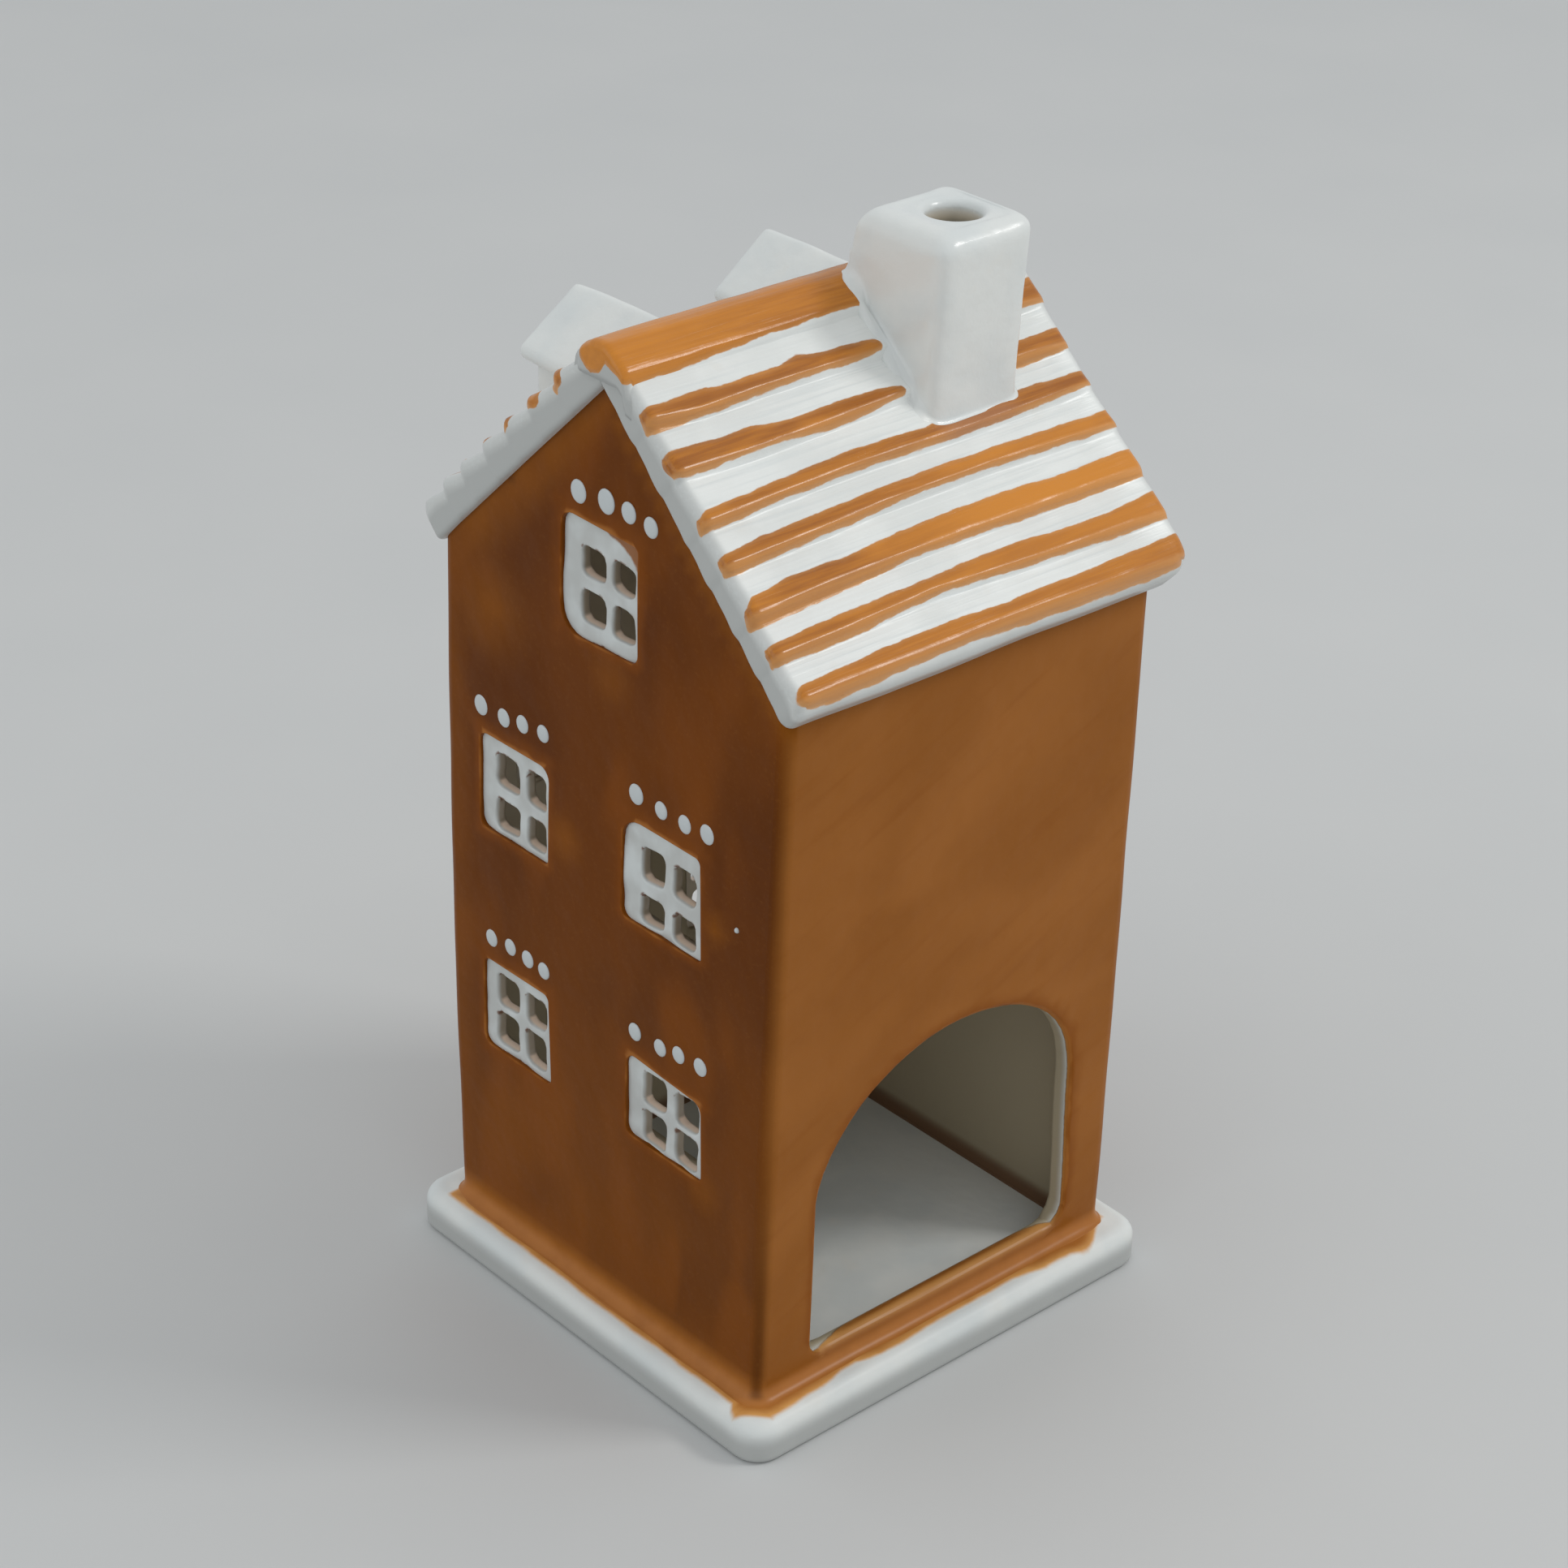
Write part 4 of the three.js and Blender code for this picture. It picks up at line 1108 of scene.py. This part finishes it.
def latticePanel(window, facing, face, shape=latticeShape):
    across = "x" if facing == "y" else "y"
    onWall = face > 30

    def stood(a, z):
        return stoodUp(a, z, across) if onWall else a
    tl, tr, br, bl = window["corners"]
    grow, wide = shape["overlap"], shape["wider"]
    paneColumns, paneRows = [[(a - wide, b + wide) for a, b in window[name]] for name in ("columns", "rows")]
    columns, rows = [[None, *first, *second, None] for first, second in (paneColumns, paneRows)]
    bm = bmesh.new()
    bmesh.ops.create_grid(bm, x_segments=5, y_segments=5, size=2.5)
    for v in bm.verts:
        i, j = round(v.co.x + 2.5), round(v.co.y + 2.5)
        q = 0.0 if j == 0 else 1.0 if j == 5 else (rows[j] - bl[1]) / (tl[1] - bl[1])
        left = bl[0] + (tl[0] - bl[0]) * q - grow
        right = br[0] + (tr[0] - br[0]) * q + grow
        a = left if i == 0 else right if i == 5 else columns[i]
        p = (a - left) / (right - left)
        low = bl[1] + (br[1] - bl[1]) * p - grow
        high = tl[1] + (tr[1] - tl[1]) * p + grow
        z = low if j == 0 else high if j == 5 else rows[j]
        v.co = (stood(a, z), 0, z)
    panes = []
    for f in bm.faces:
        m = f.calc_center_median()
        inColumn = any(stood(c, m.z) < m.x < stood(d, m.z) for c, d in paneColumns)
        if inColumn and any(c < m.z < d for c, d in paneRows):
            panes.append(f)
    bmesh.ops.delete(bm, geom=panes, context="FACES_ONLY")
    bmesh.ops.delete(bm, geom=[v for v in bm.verts if not v.link_faces], context="VERTS")
    drawn = bmesh.ops.extrude_face_region(bm, geom=bm.faces[:])["geom"]
    bmesh.ops.translate(bm, vec=(0, shape["depth"], 0), verts=newVerts(drawn))
    outward(bm)
    radii = dict(zip([(0, 1), (1, 1), (1, 0), (0, 0)], window["round"]))
    centreA, centreZ = [sum(c[k] for c in window["corners"]) / 4 for k in (0, 1)]
    upright = [e for e in bm.edges if abs(e.verts[0].co.y - e.verts[1].co.y) > shape["depth"] / 2]
    corners = [e for e in upright if e.calc_face_angle(0) > 0.5]
    outer, inner = {}, []
    for e in corners:
        m = middleOf(e)
        if e.is_convex:
            outer[(int(m.x > stood(centreA, m.z)), int(m.z > centreZ))] = e
        else:
            inner.append(e)
    soften(bm, inner, shape["paneRound"])
    for key, e in outer.items():
        soften(bm, [e], radii[key] + grow, 5)
    bm = wornClay(bm, shape["cell"], shape["rounds"])
    marks = keepMarks(bm, ["inside", "over", "shade", "sill", "stain"])
    bm.normal_update()
    cut = window.get("cut")
    for v in bm.verts:
        x, y, z = v.co
        right, up = v.normal.x, v.normal.z
        over = -3.0
        if cut and y < 0.5:
            p = max(0.0, 1 + (x - tr[0]) / cut[0])
            q = max(0.0, 1 + (z - tr[1]) / cut[1])
            over = (math.hypot(p, q) - 0.92) * cut[1] - 1.2 * (1 - step(min(p, q), 0, 0.3))
        # painted light on the panes' jambs and sills, painted shade on their left and upper sides
        record(v, marks, over=over, inside=step(y, 0.45, 1.1), sill=step(y, 0.3, 0.9) * step(up, 0.35, 0.75),
               shade=0.85 * step(y, 0.25, 0.9) * step(max(right, -up), 0.3, 0.75),
               stain=(1 - step(y, 1.2, 1.7)) * step(-up, 0.04, 0.22))
        v.co.x += 0.22 * wobble(v.co.x, v.co.z, 61, 0.3)
        v.co.z += 0.22 * wobble(v.co.x, v.co.z, 62, 0.3)
        v.co.y += 0.25 * wobble(v.co.x, v.co.z, 63, 0.25)
    bmesh.ops.translate(bm, vec=(0, -face + shape["recess"], 0), verts=bm.verts)
    if facing == "x":
        turned(bm, -math.pi / 2)
        bmesh.ops.scale(bm, vec=(1, -1, 1), verts=bm.verts)
        outward(bm)
    if onWall:
        for v in bm.verts:
            v.co = bowed(*leanOut(*v.co))
    return bm


for wall, windows, facing, turn in wallFaces:
    face = houseShape["halfY"] if facing == "y" else houseShape["halfX"]
    for i, window in enumerate(windows):
        panel = turned(latticePanel(window, facing, face), turn)
        makePiece(f"{wall}_lattice_{i + 1}", panel, latticeGlaze, [f"{wall}_window_{i + 1}"])
makePiece("roof_dormer_side", dormerSlab(), roofGlaze, ["roof_slab_dormer_side"])
for which, way in (("near", -1), ("far", 1)):
    at = way * dormerShape["centre"]
    makePiece(f"dormer_{which}_walls", dormerBody(at), whiteGlaze, [f"dormer_{which}_body"], weighted=True)
    makePiece(f"dormer_{which}_top", dormerRoof(at), whiteGlaze, [f"dormer_{which}_roof"])
    makePiece(f"dormer_{which}_lattice", latticePanel(dormerWindow(at), "x", dormerShape["front"], smallLattice),
              latticeGlaze, [f"dormer_window_{which}"])
print("house ready")


# Enamel dots

dotShape = {"rise": 0.38, "taller": 1.05}


def enamelDots(windows, facing, extra=()):
    bm = bmesh.new()
    for a, z, radius in [dot for window in windows for dot in window["dots"]] + list(extra):
        made = bmesh.ops.create_uvsphere(bm, u_segments=20, v_segments=12, radius=1)["verts"]
        halfX, halfY, _ = leanOut(houseShape["halfX"], houseShape["halfY"], z)
        face, swell = bowed(-halfX, a, z), [dotShape["rise"], radius, radius * dotShape["taller"]]
        if facing == "y":
            face, swell = (a, -halfY, z), [swell[1], swell[0], swell[2]]
        bmesh.ops.scale(bm, vec=swell, verts=made)
        bmesh.ops.translate(bm, vec=face, verts=made)
    return bm


makePiece("gable_dots", enamelDots(gableWindows, "y", [(28.3, 82.8, 0.4)]), dotGlaze)
makePiece("back_gable_dots", turned(enamelDots(backWindows, "y"), math.pi), dotGlaze)
makePiece("front_dots", enamelDots(frontWindows, "x"), dotGlaze)


# Base plate

plateShape = {"halfX": 40.55, "halfY": 40.35, "height": 6.9, "corner": 4.6, "topEdge": 2.5, "footEdge": 1.2,
              "grid": 1.05, "wallX": 33, "wallY": 33.4}
lapShape = {"left": 36.3, "near": 38.3, "far": 36.3, "corner": 74.9}
lapLine = [(-35.9, 39.2), (-35, 38.9), (-29.8, 38.7), (-25, 38.4), (-21.1, 37.8), (-17.9, 37.5), (-16.5, 37.9),
           (-13.7, 38.5), (-7.7, 38.3), (-0.7, 38.0), (9.4, 38.1), (13.4, 37.9), (16.7, 38.3), (19.5, 39),
           (25.7, 39), (27.8, 39.9), (29.9, 39.2), (33.5, 36.6), (35.7, 35.6), (40, 35.4)]


def basePlate():
    shape = plateShape
    hx, hy, corner = shape["halfX"], shape["halfY"], shape["corner"]
    bm = block((-hx, -hy, 0), (hx, hy, 1))
    slices(bm, 2, [0.1, 0.3, 0.5, 0.7, 0.9])
    insets = [0.05, 0.2, 0.42, 0.7, 1.0, 1.35, 1.75, 2.2, 2.8, 3.5]
    for axis, half in ((0, hx), (1, hy)):
        slices(bm, axis, edgeRows(-half, half, insets, shape["grid"]))
    marks = keepMarks(bm, ["glaze", "loose", "edge", "tone", "warm", "inside", "thin", "cove", "gloss", "soft"])
    for v in bm.verts:
        x, y, t = v.co
        rim = min(hx - abs(x), hy - abs(y))
        crown = shape["height"] - roundDrop(rim, shape["topEdge"])
        base = roundDrop(rim, shape["footEdge"])
        z = base + (crown - base) * t
        u, w = abs(x) - (hx - corner), abs(y) - (hy - corner)
        if u > 0 and w > 0:
            pull = max(u, w) / math.hypot(u, w)
            x = math.copysign(hx - corner + u * pull, x)
            y = math.copysign(hy - corner + w * pull, y)
        tip = 1.4 * step(x, 32.8, 34.5)
        lap = min(along(lapLine, y) - x, x + lapShape["left"] - 1.5 * (1 - step(y, -36, -30)),
                  y + lapShape["near"] + tip, lapShape["far"] - y, (lapShape["corner"] - x + y) * 0.7)
        lap += 0.25 * wobble(x, y, 71, 0.22)
        onTop = t > 0.95
        outside = max(abs(x) - shape["wallX"], abs(y) - shape["wallY"])
        glazed = min(lap, outside) if onTop else -3.0
        # the plate's sides get the painted shade
        record(v, marks, glaze=max(-3.0, min(3.0, glazed)), loose=0.35, edge=5.0, soft=1.0, warm=1.0, gloss=0.10,
               inside=0.03 if outside < -0.5 and onTop else 0.0, thin=1 - step(z, 2.6, 5.8),
               tone=0.15 if abs(y) > abs(x) else 0.0,
               # the floor by the walls' inner foot: pooled glaze deepened as painted shade
               cove=0.75 * step(outside, -2.6, -1.0) if onTop and outside < 1 else 0.0)
        z += 0.08 * step(glazed, -0.2, 0.8) if onTop else 0
        z += 0.05 * wobble(x, y, 72, 0.15) if onTop and outside > 0 else 0
        v.co = (x, y, z)
    return outward(bm)


makePiece("foot_plate", basePlate(), houseGlaze, ["base_plate"])
print("plate ready")


# Studio

cameraShape = {"eye": (0.33441, -0.30510, 0.32911), "heading": 0.833, "pitch": 0.501, "roll": 0.025,
               "lens": 81.17, "film": 36.0}
roomShape = {"colour": (0.96, 0.985, 1.0, 1), "strength": 0.68}
floorShape = {"half": 4, "dull": (0.60, 0.61, 0.61), "light": (0.64, 0.645, 0.64), "rough": 0.75}


def placeCamera():
    shape = cameraShape
    h, p, roll = shape["heading"], shape["pitch"], shape["roll"]
    ahead = Vector((-math.sin(h) * math.cos(p), math.cos(h) * math.cos(p), -math.sin(p)))
    right = Vector((math.cos(h), math.sin(h), 0))
    up = right.cross(ahead)
    tiltedRight = math.cos(roll) * right + math.sin(roll) * up
    tiltedUp = math.cos(roll) * up - math.sin(roll) * right
    lens = bpy.data.cameras.new("camera")
    lens.sensor_fit = "HORIZONTAL"
    lens.sensor_width = shape["film"]
    lens.lens = shape["lens"]
    lens.clip_start = 0.01
    camera = addObject("camera", lens)
    basis = Matrix((tiltedRight, tiltedUp, -ahead)).transposed().to_4x4()
    camera.matrix_world = Matrix.Translation(shape["eye"]) @ basis
    studio.camera = camera


lampShapes = [
    {"name": "window_light", "from": (0.575, 0.56, 0.85), "size": 0.28, "watts": 3.0, "colour": (1.0, 0.985, 0.96)},
    {"name": "fill_light", "from": (-0.2, -0.9, 0.55), "size": 0.8, "watts": 1.0, "colour": (0.97, 0.99, 1.0)},
]


def placeLamps():
    for shape in lampShapes:
        lamp = bpy.data.lights.new(shape["name"], "AREA")
        lamp.shape = "RECTANGLE"
        lamp.size = lamp.size_y = shape["size"]
        lamp.energy = shape["watts"]
        lamp.color = shape["colour"]
        toHouse = Vector((0, 0, 0.08)) - Vector(shape["from"])
        turn = toHouse.to_track_quat("-Z", "Y").to_matrix().to_4x4()
        addObject(shape["name"], lamp).matrix_world = Matrix.Translation(shape["from"]) @ turn
    world = bpy.data.worlds.new("soft_room")
    world.use_nodes = True
    room = world.node_tree.nodes["Background"]
    room.inputs["Color"].default_value = roomShape["colour"]
    room.inputs["Strength"].default_value = roomShape["strength"]
    studio.world = world


def placeFloor():
    bm = bmesh.new()
    bmesh.ops.create_grid(bm, x_segments=1, y_segments=1, size=floorShape["half"])
    mesh = meshFrom(bm, "floor")
    glaze = Glaze("pale_floor")
    tone = glaze.blend(glaze.cloud(60, 3, seed=1), floorShape["dull"], floorShape["light"])
    mesh.materials.append(glaze.finish(tone, floorShape["rough"], glaze.cloud(2), 0.02, coat=0.0, level=0.2))
    floor = addObject("floor", mesh)


placeCamera()
placeLamps()
placeFloor()
studio.view_settings.view_transform = "Standard"
print("studio ready")
